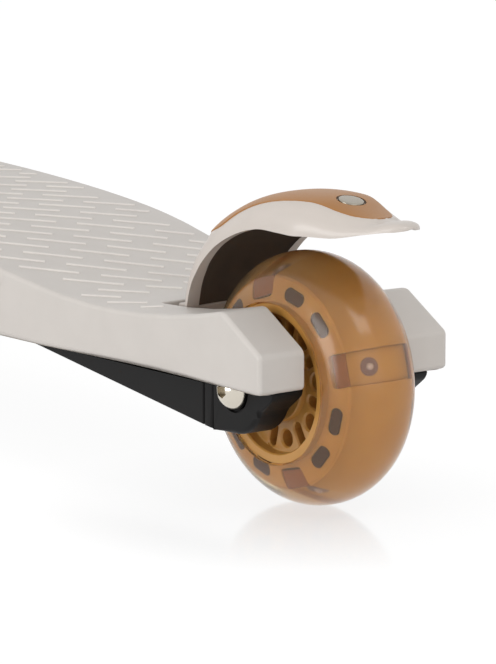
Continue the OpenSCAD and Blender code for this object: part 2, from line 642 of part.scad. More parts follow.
module knuckle_bushes(side) color("#d9d4c8") raked_side(side) for (z = [barrel_low, barrel_high - 10])
    translate([0, 0, z]) tube(kingpin_r + bush_t, kingpin_r + running_gap, 10);
module knuckle_bushes_left() knuckle_bushes(1);
module knuckle_bushes_right() knuckle_bushes(-1);
// The bar's holes are slots, long enough for the arc that the pins move on
module tie_bar() color("#4a4644") raked() difference() {
    union() {
        block(steer_arm - tie_half, steer_arm + tie_half, -kingpin_y, kingpin_y, tie_low, tie_low + tie_t);
        for (side = [-1, 1]) translate([steer_arm, side * kingpin_y, tie_low]) cylinder(r = tie_half, h = tie_t);
        block(steer_arm - 6, steer_arm + spring_r, -lug_half, lug_half, tie_low, spring_z + spring_r);
    }
    for (side = [-1, 1]) translate([steer_arm, side * kingpin_y, tie_low - 1]) {
        slot = steer_arm * (1 - cos(steer_limit)) + 0.15;
        for (x = [-slot, slot]) translate([x, 0, 0]) cylinder(r = tie_pin_d / 2 + 0.3, h = tie_t + 2);
        block(-slot, slot, -tie_pin_d / 2 - 0.3, tie_pin_d / 2 + 0.3, 0, tie_t + 2);
    }
}

// Front wheels
module wheel_place(side) raked_side(side) translate([0, side * (wheel_y - kingpin_y), 0]) children();
module axle_bolt(side) color("#c9c4b8") raked_side(side) mirror([0, side < 0 ? 1 : 0, 0]) {
    seat = wheel_y + front_hub_w / 2 - 0.45 - kingpin_y;
    along_y(axle_r, kingpin_r + 7, seat + eps);
    translate([0, seat, 0]) rotate([-90, 0, 0]) button_head(bolt_head_d / 2, bolt_head_h);
}
module left_axle_bolt() axle_bolt(1);
module right_axle_bolt() axle_bolt(-1);
front_seat = front_hub_w / 2 - 0.5 - bearing_w;
module axle_spacers(side) color("#9a9894") wheel_place(side) {
    rotate([90, 0, 0]) translate([0, 0, -front_seat + 0.05]) tube(axle_r + 1.8, axle_r, 2 * front_seat - 0.1);
    rotate([90, 0, 0]) translate([0, 0, -4]) tube(bearing_r - 2, axle_r + 1.8, 8);
}
module left_axle_spacers() axle_spacers(1);
module right_axle_spacers() axle_spacers(-1);
module front_hub(side) color("#b07a42") wheel_place(side) hub(front_lip_d / 2, front_hub_w / 2, front_core_r);
module left_front_hub() front_hub(1);
module right_front_hub() front_hub(-1);
module front_tyre(side) color("#b98246") wheel_place(side)
    tyre(front_r, front_tyre_w / 2, front_lip_d / 2, front_hub_w / 2, front_core_r);
module left_front_tyre() front_tyre(1);
module right_front_tyre() front_tyre(-1);
module left_front_bearings() color("#8f8d8a") wheel_place(1) bearings(front_seat);
module right_front_bearings() color("#8f8d8a") wheel_place(-1) bearings(front_seat);
module left_front_lights() color("#e6e2da") wheel_place(1) lights(front_core_r);
module right_front_lights() color("#e6e2da") wheel_place(-1) lights(front_core_r);

// Fold bracket
cheek_y = cheek_gap / 2;
stop_h = 12;
module fold_bracket() color("#a8a6a2") raked() difference() {
    union() {
        block(-20, 14, -33, 33, beam_high, beam_high + 4);
        for (side = [-1, 1]) {
            y = side > 0 ? cheek_y : -cheek_y - cheek_t;
            block(stem_x - cheek_back, stem_x + 18, y, y + cheek_t, beam_high, fold_h);
            block(stem_x + foot_r - 4, stem_x + 18, y, y + cheek_t, fold_h - 1, fold_h + stop_h);
            translate([stem_x, y, fold_h]) rotate([-90, 0, 0]) cylinder(r = cheek_back, h = cheek_t);
        }
        block(stem_x + foot_r + 1, stem_x + 18, -cheek_y, cheek_y, beam_high, fold_h + stop_h);
    }
    translate([stem_x, 0, fold_h]) along_y(fold_bolt_d / 2, -far, far);
    for (x = bracket_bolt_x, side = [-1, 1]) translate([x, side * bracket_bolt_y, beam_high - 1])
        cylinder(r = 3, h = 20);
}
module bracket_bolts() color("#b9b6b0") raked() for (x = bracket_bolt_x, side = [-1, 1])
    translate([x, side * bracket_bolt_y, beam_high - 8]) {
        cylinder(r = 3, h = 12);
        translate([0, 0, 12]) cylinder(r = 5, h = 3.2);
    }
// A bolt with a head at one end and the cam pin of a lever at the other, its middle at the origin
module cam_bolt(r, right, left) {
    along_y(r, -right, left + cam_r + 4);
    along_y(r + 3, -right - 4.5, -right);
    along_y(r + 3.5, left, left + 1.3);
}
// Lever on the cam pin: two cheeks about the pin, and an arm beside them, closed towards +Z
module cam_lever(left, arm, pin_axis_gap) translate([0, left + 1.4 + cam_r, 0]) difference() {
    union() {
        for (side = [-1, 1]) translate([side > 0 ? pin_axis_gap : -pin_axis_gap - 4, 0, 0])
            rotate([0, 90, 0]) cylinder(r = cam_r, h = 4);
        block(-pin_axis_gap - 4, pin_axis_gap + 4, cam_r - 4, cam_r, 0, arm);
        for (side = [-1, 1]) block(side > 0 ? pin_axis_gap : -pin_axis_gap - 4,
            side > 0 ? pin_axis_gap + 4 : -pin_axis_gap, 0, cam_r, 0, 14);
    }
    block(-pin_axis_gap, pin_axis_gap, -cam_r, cam_r + 1, -cam_r - 1, 8.5);
    along_x(cam_pin_r + running_gap, -far, far);
}
module cam_pin(left, pin_axis_gap) translate([0, left + 1.4 + cam_r, 0])
    along_x(cam_pin_r, -pin_axis_gap - 4, pin_axis_gap + 4);
cam_pin_r = 2;
fold_left = cheek_y + cheek_t;
module fold_bolt() color("#b9b6b0") stem() {
    cam_bolt(fold_bolt_d / 2, fold_left, fold_left);
    cam_pin(fold_left, fold_bolt_d / 2 + 0.4);
}
module fold_lever() color("#35312f") stem() cam_lever(fold_left, 52, fold_bolt_d / 2 + 0.4);

// Stem
module stem_foot() color("#35312f") stem() difference() {
    union() {
        along_y(foot_r, -cheek_y + 0.1, cheek_y - 0.1);
        block(-foot_r + 1, foot_r + 1 - rest_gap, -cheek_y + 2, cheek_y - 2, 0, socket_low + 1);
        translate([0, 0, socket_low]) cylinder(r = tube_r + socket_t, h = socket_high - socket_low);
    }
    along_y(fold_bolt_d / 2 + running_gap, -far, far);
    translate([0, 0, tube_seat]) cylinder(r = tube_r, h = far);
}
module lower_tube() color("#c4c1bb") stem() translate([0, 0, tube_seat])
    tube(tube_r, tube_bore_r, lower_tube_top - tube_seat);
module tube_bush() color("#d9d4c8") stem() translate([0, 0, lower_tube_top - 34])
    tube(tube_bore_r, upper_r + running_gap, 34);
ear_x = tube_r + collar_t + 8;
module collar() color("#35312f") stem() translate([0, 0, lower_tube_top - collar_h + collar_t]) difference() {
    union() {
        cylinder(r = tube_r + collar_t, h = collar_h);
        block(0, ear_x + 6, -12, 12, 4, collar_h - 6);
    }
    translate([0, 0, -1]) cylinder(r = tube_r, h = collar_h - collar_t + 1);
    cylinder(r = upper_r + 0.6, h = far);
    block(0, far, -1.2, 1.2, -1, collar_h + 1);
    translate([ear_x, 0, collar_h / 2 - 1]) along_y(3, -far, far);
}
collar_mid = lower_tube_top - collar_h / 2 + collar_t - 1;
module collar_place() stem() translate([ear_x, 0, collar_mid]) rotate([0, -90, 0]) children();
module collar_bolt() color("#b9b6b0") collar_place() {
    cam_bolt(3, 12, 12);
    cam_pin(12, 3.4);
}
module collar_lever() color("#35312f") collar_place() cam_lever(12, 48, 3.4);

// Handlebar
tube_low = lower_tube_top - insert_left - height_travel;
module upper_tube() color("#c4c1bb") stem() difference() {
    translate([0, 0, tube_low]) tube(upper_r, upper_r - upper_tube_t, bar_h - bar_d / 2 - 1 - tube_low);
    translate([0, 0, handle_screw_h]) along_y(2, 0, far);
}
joint_t = 3.5;
module handle_joint() color("#35312f") stem() difference() {
    union() {
        translate([0, 0, joint_low]) cylinder(r = upper_r + joint_t, h = joint_h / 2);
        translate([0, 0, bar_h]) along_y(bar_d / 2 + joint_t, -24, 24);
    }
    translate([0, 0, joint_low - 1]) cylinder(r = upper_r, h = bar_h - bar_d / 2 - 1 - joint_low + 1);
    translate([0, 0, bar_h]) along_y(bar_d / 2, -far, far);
    translate([0, 0, handle_screw_h]) along_y(2, 0, far);
}
module handle_screw() color("#b9b6b0") stem() translate([0, 0, handle_screw_h]) {
    along_y(2, upper_r - 3, upper_r + joint_t);
    along_y(3.2, upper_r + joint_t, upper_r + joint_t + 2.2);
}
grip_end = 4;
module crossbar() color("#c4c1bb") stem() translate([0, 0, bar_h]) rotate([90, 0, 0])
    translate([0, 0, -bar_length / 2 + grip_end]) tube(bar_d / 2, bar_d / 2 - 1.5, bar_length - 2 * grip_end);
module grip(side) color("#b4824f") stem() translate([0, 0, bar_h]) mirror([0, side < 0 ? 1 : 0, 0]) {
    start = bar_length / 2 - grip_length;
    turn_y() polygon([[bar_d / 2, start], [grip_d / 2 + 4, start], [grip_d / 2 + 4, start + 4],
        [grip_d / 2, start + 7], [grip_d / 2 - 1, start + grip_length / 2], [grip_d / 2, bar_length / 2 - 6],
        [grip_d / 2 - 3, bar_length / 2], [0, bar_length / 2], [0, bar_length / 2 - grip_end],
        [bar_d / 2, bar_length / 2 - grip_end]]);
}
module left_grip() grip(1);
module right_grip() grip(-1);

deck();
under_frame();
deck_screws();
bridge_screws();
rear_axle_bolt();
rear_axle_nut();
rear_axle_spacers();
rear_magnet();
rear_hub();
rear_tyre();
rear_bearings();
rear_lights();
brake_fender();
brake_hinge();
fender_insert();
fender_stud();
brake_pad();
brake_pin();
brake_spring();
front_bridge();
front_cover();
cover_screws();
kingpins();
steering_springs();
left_knuckle();
right_knuckle();
knuckle_bushes_left();
knuckle_bushes_right();
tie_bar();
left_axle_bolt();
right_axle_bolt();
left_axle_spacers();
right_axle_spacers();
left_front_hub();
right_front_hub();
left_front_tyre();
right_front_tyre();
left_front_bearings();
right_front_bearings();
left_front_lights();
right_front_lights();
fold_bracket();
bracket_bolts();
fold_bolt();
fold_lever();
stem_foot();
lower_tube();
tube_bush();
collar();
collar_bolt();
collar_lever();
upper_tube();
handle_joint();
handle_screw();
crossbar();
left_grip();
right_grip();
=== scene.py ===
"""Finished look of a three-wheel kids scooter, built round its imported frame.

Every sub-assembly is a class: its fields are sizes in millimetres, its methods build and dress its pieces.
Sizes that the frame knows, such as wheel centres and the lean of the stem, are read from the frame.
"""
import functools
import json
import logging
import math
from contextlib import contextmanager
from dataclasses import dataclass
from enum import Enum
from typing import Callable, Iterator, Optional, Sequence

import bmesh
import bpy
from mathutils import Matrix, Vector
from mathutils.bvhtree import BVHTree

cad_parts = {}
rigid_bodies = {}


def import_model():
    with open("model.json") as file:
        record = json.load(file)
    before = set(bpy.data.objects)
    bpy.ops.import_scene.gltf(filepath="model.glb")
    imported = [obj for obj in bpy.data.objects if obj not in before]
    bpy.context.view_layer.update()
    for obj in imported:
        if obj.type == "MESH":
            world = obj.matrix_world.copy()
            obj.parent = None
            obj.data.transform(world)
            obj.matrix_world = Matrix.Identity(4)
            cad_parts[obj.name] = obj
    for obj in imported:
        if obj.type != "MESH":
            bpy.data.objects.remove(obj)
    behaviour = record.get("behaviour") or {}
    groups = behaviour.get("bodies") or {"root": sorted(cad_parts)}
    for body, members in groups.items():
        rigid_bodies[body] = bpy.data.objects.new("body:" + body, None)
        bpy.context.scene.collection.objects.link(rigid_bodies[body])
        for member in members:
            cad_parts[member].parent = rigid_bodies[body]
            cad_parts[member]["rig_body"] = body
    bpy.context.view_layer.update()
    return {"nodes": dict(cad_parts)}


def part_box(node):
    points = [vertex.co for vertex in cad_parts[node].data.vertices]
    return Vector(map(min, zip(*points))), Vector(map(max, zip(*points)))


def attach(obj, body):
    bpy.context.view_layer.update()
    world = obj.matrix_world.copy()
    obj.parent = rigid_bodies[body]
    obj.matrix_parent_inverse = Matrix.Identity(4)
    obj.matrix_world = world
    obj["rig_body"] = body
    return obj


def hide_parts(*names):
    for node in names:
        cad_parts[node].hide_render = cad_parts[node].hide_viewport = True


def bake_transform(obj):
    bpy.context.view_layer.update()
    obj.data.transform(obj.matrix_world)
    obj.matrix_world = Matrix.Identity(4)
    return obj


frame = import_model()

LOG = logging.getLogger("scooter")
MM = 0.001
ACROSS = Vector((0, 1, 0))
UP = Vector((0, 0, 1))
SIGNS = (-1, 1)
Point = tuple[float, float]


# Places that the frame gives


def middle(node: str) -> Vector:
    """Middle of a CAD node's box, in metres."""
    low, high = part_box(node)
    return (low + high) / 2


AXLE = middle("rear_tyre")


def at_rear(x: float, y: float, z: float) -> Vector:
    """A place in metres, given in millimetres ahead of the rear axle, to the left, and over the floor."""
    return Vector((AXLE.x + x * MM, y * MM, z * MM))


class Side(Enum):
    """A side of the scooter, as its rider sees it."""

    LEFT = "left"
    RIGHT = "right"

    @property
    def out(self) -> Vector:
        """Direction away from the middle."""
        return ACROSS if self is Side.LEFT else -ACROSS

    def reach(self, node: str) -> Point:
        """Least and greatest distance of a CAD node's box from the middle, in metres."""
        low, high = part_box(node)
        return (low.y, high.y) if self is Side.LEFT else (-high.y, -low.y)


# Mesh tools


def deselect() -> None:
    """Leaves no object selected, so that an operator acts only on what is picked next."""
    bpy.ops.object.select_all(action="DESELECT")


def pick(piece: bpy.types.Object) -> None:
    """Makes a piece the only selected object, and the active one.

    Args:
        piece: the piece.
    """
    deselect()
    piece.select_set(True)
    bpy.context.view_layer.objects.active = piece


@contextmanager
def editing(piece: bpy.types.Object, everything: bool = True) -> Iterator[None]:
    """Opens a piece in edit mode, with its whole mesh selected or none of it.

    Args:
        piece: the piece.
        everything: whether its whole mesh is selected.

    Returns:
        A context that leaves edit mode at its end.
    """
    pick(piece)
    bpy.ops.object.mode_set(mode="EDIT")
    bpy.ops.mesh.select_mode(type="VERT")
    bpy.ops.mesh.select_all(action="SELECT" if everything else "DESELECT")
    yield
    bpy.ops.object.mode_set(mode="OBJECT")


def choose_faces(piece: bpy.types.Object, test: Callable[[Vector, Vector], bool]) -> None:
    """Selects the faces whose middle and normal pass a test, in edit mode.

    Args:
        piece: the piece.
        test: says of a face's middle and normal whether the face is selected.
    """
    bpy.ops.mesh.select_mode(type="FACE")
    shape = bmesh.from_edit_mesh(piece.data)
    for face in shape.faces:
        face.select_set(test(face.calc_center_median(), face.normal))
    bmesh.update_edit_mesh(piece.data)


def reshape(piece: bpy.types.Object, move: Callable[[Vector], Vector]) -> bpy.types.Object:
    """Moves every point of a mesh by a rule.

    Args:
        piece: the piece.
        move: gives the new place of a point.

    Returns:
        The piece.
    """
    for vertex in piece.data.vertices:
        vertex.co = move(vertex.co)
    piece.data.update()
    return piece


def apply_modifier(piece: bpy.types.Object, kind: str, **settings: object) -> bpy.types.Object:
    """Adds one modifier with its settings and applies it.

    Args:
        piece: the piece.
        kind: type of the modifier.
        **settings: its attributes.

    Returns:
        The piece.
    """
    pick(piece)
    modifier = piece.modifiers.new(kind.lower(), kind)
    for key, value in settings.items():
        setattr(modifier, key, value)
    bpy.ops.object.modifier_apply(modifier=modifier.name)
    return piece


def new_piece(name: str, points: Sequence[Vector], edges: Sequence[tuple[int, int]]) -> bpy.types.Object:
    """Links a new mesh object made of points and edges.

    Args:
        name: name of the piece.
        points: its points, in metres.
        edges: the numbers of the two points of each edge.

    Returns:
        The piece.
    """
    mesh = bpy.data.meshes.new(name)
    mesh.from_pydata([tuple(p) for p in points], list(edges), [])
    piece = bpy.data.objects.new(name, mesh)
    bpy.context.scene.collection.objects.link(piece)
    return piece


def settle_primitive(name: str) -> bpy.types.Object:
    """Names the primitive that was just added and moves its place into its mesh.

    Args:
        name: its name.

    Returns:
        The piece.
    """
    piece = bpy.context.object
    pick(piece)
    bpy.ops.object.transform_apply(location=True, rotation=True, scale=True)
    piece.name = name
    return piece


def close_up(piece: bpy.types.Object, gap: float = 0.004) -> bpy.types.Object:
    """Merges doubled points and turns all faces outwards.

    Args:
        piece: the piece.
        gap: points closer than this are merged, in millimetres.

    Returns:
        The piece.
    """
    with editing(piece):
        bpy.ops.mesh.remove_doubles(threshold=gap * MM)
        bpy.ops.mesh.normals_make_consistent(inside=False)
    return piece


def recast(node: str, name: str) -> bpy.types.Object:
    """Copies a CAD node's mesh as the start of a finished piece, with its loose triangles merged.

    Args:
        node: the CAD node.
        name: name of the piece.

    Returns:
        The piece.
    """
    source = frame["nodes"][node].data.copy()
    piece = bpy.data.objects.new(name, source)
    bpy.context.scene.collection.objects.link(piece)
    source.materials.clear()
    pick(piece)
    bpy.ops.mesh.customdata_custom_splitnormals_clear()
    with editing(piece):
        bpy.ops.mesh.remove_doubles(threshold=0.002 * MM)
        bpy.ops.mesh.dissolve_limited(angle_limit=math.radians(0.4))
    return piece


def soften(piece: bpy.types.Object, radius: float, segments: int = 3, angle: float = 25,
           where: Optional[Callable[[Vector], bool]] = None) -> bpy.types.Object:
    """Rounds a piece's sharp edges, but not the fine ones of small holes.

    Args:
        piece: the piece.
        radius: radius in millimetres.
        segments: number of steps across the rounding.
        angle: smallest angle between faces that is rounded, in degrees.
        where: test on the middle of an edge, where only some are rounded.

    Returns:
        The piece.
    """
    shape = bmesh.new()
    shape.from_mesh(piece.data)
    weight = shape.edges.layers.float.new("bevel_weight_edge")
    shortest = max(0.5, radius * 0.6) * MM
    for edge in shape.edges:
        sharp = len(edge.link_faces) == 2 and edge.calc_face_angle() > math.radians(angle)
        centre = (edge.verts[0].co + edge.verts[1].co) / 2
        if sharp and edge.calc_length() > shortest and (where is None or where(centre)):
            edge[weight] = 1.0
    shape.to_mesh(piece.data)
    shape.free()
    apply_modifier(piece, "BEVEL", width=radius * MM, segments=segments, limit_method="WEIGHT",
                   use_clamp_overlap=False, miter_outer="MITER_ARC")
    piece.data.attributes.remove(piece.data.attributes["bevel_weight_edge"])
    return piece


def block(name: str, length: float, width: float, height: float, edge: float) -> bpy.types.Object:
    """A block with rounded edges about the origin, with sizes in millimetres.

    Args:
        name: name of the block.
        length: size along X.
        width: size along Y.
        height: size along Z.
        edge: radius of its edges.

    Returns:
        The block.
    """
    deselect()
    bpy.ops.mesh.primitive_cube_add(size=1, scale=(length * MM, width * MM, height * MM))
    return soften(settle_primitive(name), edge, 2)


def lathe(name: str, outline: Sequence[Point], centre: Vector, axis: Vector,
          steps: int = 96) -> bpy.types.Object:
    """Spins a closed outline about an axis.

    Args:
        name: name of the piece.
        outline: points of the section, each a radius and an offset along the axis, in millimetres.
        centre: where the offset is nought, in metres.
        axis: direction of the axis.
        steps: number of steps in a full turn.

    Returns:
        The closed ring or body.
    """
    side = axis.orthogonal().normalized()
    points = [centre + side * (r * MM) + axis * (o * MM) for r, o in outline]
    edges = [(i, (i + 1) % len(points)) for i in range(len(points))]
    if outline[0][0] == 0 and outline[-1][0] == 0:
        edges.pop()
    piece = new_piece(name, points, edges)
    with editing(piece):
        bpy.ops.mesh.spin(steps=steps, angle=math.tau, center=centre, axis=axis)
    close_up(piece)
    with editing(piece):
        bpy.ops.mesh.delete_loose(use_verts=True, use_edges=True, use_faces=False)
    return piece


def twin(template: bpy.types.Object, name: str, place: Matrix) -> bpy.types.Object:
    """Copies a piece with its own mesh, moved to a place.

    Args:
        template: the piece that is copied.
        name: name of the copy.
        place: where the template's origin and axes go.

    Returns:
        The copy.
    """
    mesh = template.data.copy()
    mesh.transform(place)
    piece = bpy.data.objects.new(name, mesh)
    bpy.context.scene.collection.objects.link(piece)
    return piece


def drop(*pieces: bpy.types.Object) -> None:
    """Deletes pieces that were only tools or templates."""
    for piece in pieces:
        bpy.data.objects.remove(piece)


def join(name: str, pieces: Sequence[bpy.types.Object]) -> bpy.types.Object:
    """Joins pieces into one object.

    Args:
        name: name of the object.
        pieces: what it is made of.

    Returns:
        The object.
    """
    pick(pieces[0])
    for piece in pieces[1:]:
        piece.select_set(True)
    if len(pieces) > 1:
        bpy.ops.object.join()
    pieces[0].name = name
    return pieces[0]


def carve(piece: bpy.types.Object, tools: Sequence[bpy.types.Object]) -> bpy.types.Object:
    """Cuts tools out of a piece and deletes them.

    Args:
        piece: the piece.
        tools: closed bodies to cut with.

    Returns:
        The piece.
    """
    tool = join("tool", list(tools))
    apply_modifier(piece, "BOOLEAN", operation="DIFFERENCE", object=tool, solver="MANIFOLD")
    drop(tool)
    return piece


def basis(place: Vector, out: Vector, along: Vector) -> Matrix:
    """A place whose Z axis points out and whose X axis points along.

    Args:
        place: its origin, in metres.
        out: direction of its Z axis.
        along: direction of its X axis, before it is made square to Z.

    Returns:
        The matrix of the place.
    """
    side = out.cross(along).normalized()
    turn = Matrix((side.cross(out).normalized(), side, out.normalized())).transposed().to_4x4()
    return Matrix.Translation(place) @ turn


def peg(width: float, length: float, depth: float, flare: float = 0.0, rise: float = 2.0,
        sides: int = 24) -> bpy.types.Object:
    """A peg with round ends that sinks below its mouth, used to cut holes and slots.

    Args:
        width: width of the peg, in millimetres.
        length: length over its round ends, which is its width for a round peg.
        depth: how far it reaches below the mouth.
        flare: how much the mouth widens, over the same depth.
        rise: how far it stands above the mouth.
        sides: number of sides.

    Returns:
        The peg, its mouth in the XY plane.
    """
    deselect()
    bpy.ops.mesh.primitive_cylinder_add(vertices=sides, radius=width / 2 * MM, depth=(depth - flare) * MM,
                                        location=(0, 0, -(depth + flare) / 2 * MM),
                                        rotation=(0, 0, math.pi / sides))
    piece = settle_primitive("peg")
    stretch = (length - width) / 2 * MM
    reshape(piece, lambda p: p + Vector((math.copysign(stretch, p.x), 0, 0)))
    with editing(piece, everything=False):
        choose_faces(piece, lambda place, normal: normal.z > 0.9)
        if flare:
            bpy.ops.mesh.extrude_region_move(TRANSFORM_OT_translate={"value": (0, 0, flare * MM)})
            bpy.ops.transform.resize(value=(1 + 2 * flare / length, 1 + 2 * flare / width, 1),
                                     center_override=(0, 0, 0))
        bpy.ops.mesh.extrude_region_move(TRANSFORM_OT_translate={"value": (0, 0, rise * MM)})
    return piece


def coil(name: str, start: Vector, end: Vector, radius: float, thickness: float,
         turns: float) -> bpy.types.Object:
    """A coil spring between two places, with sizes in millimetres.

    Args:
        name: name of the spring.
        start: middle of its first end.
        end: middle of its last end.
        radius: radius to the middle of the wire.
        thickness: thickness of the wire.
        turns: number of turns.

    Returns:
        The spring.
    """
    way = end - start
    side = way.orthogonal().normalized()
    other = way.normalized().cross(side)
    steps = round(turns * 18)
    curve = bpy.data.curves.new(name, "CURVE")
    curve.dimensions = "3D"
    curve.bevel_depth = thickness / 2 * MM
    curve.bevel_resolution = 1
    curve.use_fill_caps = True
    spline = curve.splines.new("POLY")
    spline.points.add(steps)
    for i, point in enumerate(spline.points):
        turn = math.tau * turns * i / steps
        lie = (side * math.cos(turn) + other * math.sin(turn)) * radius * MM
        point.co = (*(start + way * (i / steps) + lie), 1)
    line = bpy.data.objects.new(name, curve)
    bpy.context.scene.collection.objects.link(line)
    pick(line)
    bpy.ops.object.convert(target="MESH")
    return close_up(bpy.context.object)


# Materials


def linear(code: str) -> tuple[float, float, float, float]:
    """Turns an sRGB hex code into a linear colour."""
    parts = [int(code[i:i + 2], 16) / 255 for i in (1, 3, 5)]
    return (*[c / 12.92 if c <= 0.04045 else ((c + 0.055) / 1.055) ** 2.4 for c in parts], 1.0)


def per_metre(size: float) -> float:
    """Scale of a texture whose features have a size in millimetres."""
    return 1 / (size * MM)


def add_node(tree: bpy.types.NodeTree, kind: str, settings: Optional[dict] = None,
             links: Optional[dict] = None) -> bpy.types.Node:
    """Adds one node.

    Args:
        tree: node tree of the material.
        kind: type of the node.
        settings: values of its inputs or attributes, by name, or by number for an input.
        links: the socket that feeds each input.

    Returns:
        The node.
    """
    node = tree.nodes.new(kind)
    for key, value in (settings or {}).items():
        if isinstance(key, int) or key in node.inputs:
            node.inputs[key].default_value = value
        else:
            setattr(node, key, value)
    for key, socket in (links or {}).items():
        tree.links.new(socket, node.inputs[key])
    return node


@dataclass(frozen=True)
class Finish:
    """A surface, with a fine grain in its relief and gloss, and soft clouds in its colour.

    The clouds stand for uneven pigment or handling, and the grain for the texture of the tool or mould.
    Grain, relief, clouds and depth are in millimetres.
    """

    name: str
    colour: str
    shade: str
    roughness: float
    grain: float = 0.6
    relief: float = 0.02
    clouds: float = 18.0
    metallic: float = 0.0
    coat: float = 0.0
    subsurface: float = 0.0
    depth: float = 2.0
    transmission: float = 0.0
    ior: float = 1.46
    gloss_spread: float = 0.06
    stretch: tuple[float, float, float] = (1.0, 1.0, 1.0)

    def constants(self) -> dict:
        """Values that are the same all over the surface.

        Returns:
            The value of each shader input, by its name.
        """
        values = {"Metallic": self.metallic, "Coat Weight": self.coat, "Coat Roughness": 0.12,
                  "Subsurface Weight": self.subsurface, "Subsurface Scale": self.depth * MM,
                  "Subsurface Radius": (1.0, 0.6, 0.3), "Transmission Weight": self.transmission}
        if not self.metallic:
            values["IOR"] = self.ior
        return values

    def build(self) -> bpy.types.Material:
        """Makes the material.

        Returns:
            The material.
        """
        material = bpy.data.materials.new(self.name)
        material.use_nodes = True
        tree = material.node_tree
        shader = tree.nodes["Principled BSDF"]
        for key, value in self.constants().items():
            shader.inputs[key].default_value = value
        place = add_node(tree, "ShaderNodeTexCoord")
        lie = add_node(tree, "ShaderNodeMapping", {"Scale": self.stretch},
                       {"Vector": place.outputs["Object"]})
        cloud = add_node(tree, "ShaderNodeTexNoise",
                         {"Scale": per_metre(self.clouds), "Detail": 3.0, "Roughness": 0.55},
                         {"Vector": lie.outputs["Vector"]})
        blend = add_node(tree, "ShaderNodeMapRange", {"From Min": 0.35, "From Max": 0.65},
                         {"Value": cloud.outputs["Fac"]})
        colour = add_node(tree, "ShaderNodeMix",
                          {"data_type": "RGBA", 6: linear(self.colour), 7: linear(self.shade)},
                          {0: blend.outputs["Result"]})
        tree.links.new(colour.outputs[2], shader.inputs["Base Color"])
        grain = add_node(tree, "ShaderNodeTexNoise", {"Scale": per_metre(self.grain), "Detail": 2.0},
                         {"Vector": lie.outputs["Vector"]})
        spread = self.gloss_spread
        gloss = add_node(tree, "ShaderNodeMapRange",
                         {"To Min": self.roughness - spread, "To Max": self.roughness + spread},
                         {"Value": grain.outputs["Fac"]})
        tree.links.new(gloss.outputs["Result"], shader.inputs["Roughness"])
        if self.relief:
            bump = add_node(tree, "ShaderNodeBump", {"Strength": 0.6, "Distance": self.relief * MM},
                            {"Height": grain.outputs["Fac"]})
            tree.links.new(bump.outputs["Normal"], shader.inputs["Normal"])
        return material


# Moulded ABS in a warm grey: satin, with the fine sparkle of an eroded mould
SHELL = Finish("moulded_abs_warm_grey", "#CEC8C2", "#CBC5BF", 0.42, grain=0.7, relief=0.012, coat=0.05)
# The dashes of the same plastic, polished in the mould so glossier, and painted lighter than the shell as
# painted highlight on their raised tops
DASH_PAINTED_HIGHLIGHT = Finish("moulded_abs_dash_painted_highlight", "#E3DED8", "#DFD9D4", 0.3, grain=0.7, relief=0.0)
# The same plastic from another tool, a little pinker and smoother
FENDER = Finish("moulded_abs_fender_grey", "#CEC5BD", "#CBC2BA", 0.36, grain=0.8, relief=0.008, coat=0.1)
# Inside of the fender, spark-eroded, and dark brown as painted shade, so that the hollow reads deep
HOLLOW_PAINTED_SHADE = Finish("fender_inside_painted_shade", "#54473B", "#4B3F34", 0.6, grain=0.6, relief=0.03)
# Glass-filled nylon: near black, even, with a dull sheen
BLACK = Finish("glass_filled_nylon_black", "#0D0B0B", "#0B0A0A", 0.5, grain=0.5, relief=0.01, ior=1.26)
# The same nylon in charcoal, moulded coarser: soft grey lights on its edges
DARK = Finish("moulded_nylon_charcoal", "#2B2827", "#262423", 0.45, grain=0.5, relief=0.02, ior=1.4)
# Moulded ABS in tan: satin and evenly coloured
TAN = Finish("moulded_abs_tan", "#A8743B", "#A47037", 0.42, grain=0.8, relief=0.008)
# Amber hub of polycarbonate: glossy, and it lets some light in
HUB = Finish("moulded_polycarbonate_amber", "#C3904A", "#BC8843", 0.32, subsurface=0.3, depth=3.0,
             relief=0.0)
# Cast polyurethane: clear with a pale amber haze, so what lies in it shows softly
TYRE = Finish("cast_polyurethane_amber", "#F5DEB2", "#F2D9AA", 0.19, transmission=0.94, ior=1.42,
              relief=0.0, grain=3.0, clouds=30.0, gloss_spread=0.02)
# Windows in the core, moulded open, with dark brown plugs sunk in them as painted shade in the recesses seen
# through the tyre
WINDOW_PAINTED_SHADE = Finish("window_recess_painted_shade", "#43140E", "#3C110C", 0.8, relief=0.0, ior=1.2)
# Plates on the sides of the light's case, dull brown as painted shade on the case sides, seen through the
# tyre
FLANK_PAINTED_SHADE = Finish("case_side_painted_shade", "#955C3C", "#8C5538", 0.7, relief=0.0, ior=1.2)
# Nickel-plated steel of the bolt heads: bright, slightly warm
NICKEL = Finish("nickel_plated_steel", "#D9D2C6", "#CFC8BB", 0.16, metallic=1.0, grain=0.35, relief=0.004)
# The stud's nickel, brushed before plating so a little rougher, and painted greyer than a bolt head as
# painted shade on its top
STUD_PAINTED_SHADE = Finish("nickel_stud_painted_shade", "#A39C90", "#989184", 0.24, metallic=1.0, grain=0.35, relief=0.006)
# Zinc-plated screws: duller and cooler
ZINC = Finish("zinc_plated_steel", "#B9B9B6", "#ACADAC", 0.32, metallic=1.0, grain=0.4, relief=0.01)
# Drawn spring wire: darker steel, with a narrow light along each coil
SPRING = Finish("spring_steel", "#8E8D8B", "#7F7E7D", 0.3, metallic=1.0, grain=0.4, relief=0.01)
# Ground bearing rings: even, with clear reflections
BEARING = Finish("ground_bearing_steel", "#A9A8A6", "#A09F9D", 0.22, metallic=1.0, grain=0.4, relief=0.004)
# Sintered magnet: dark, grainy and nearly matt
MAGNET = Finish("sintered_magnet", "#5A5653", "#4F4B49", 0.5, metallic=0.7, grain=0.3, relief=0.03)
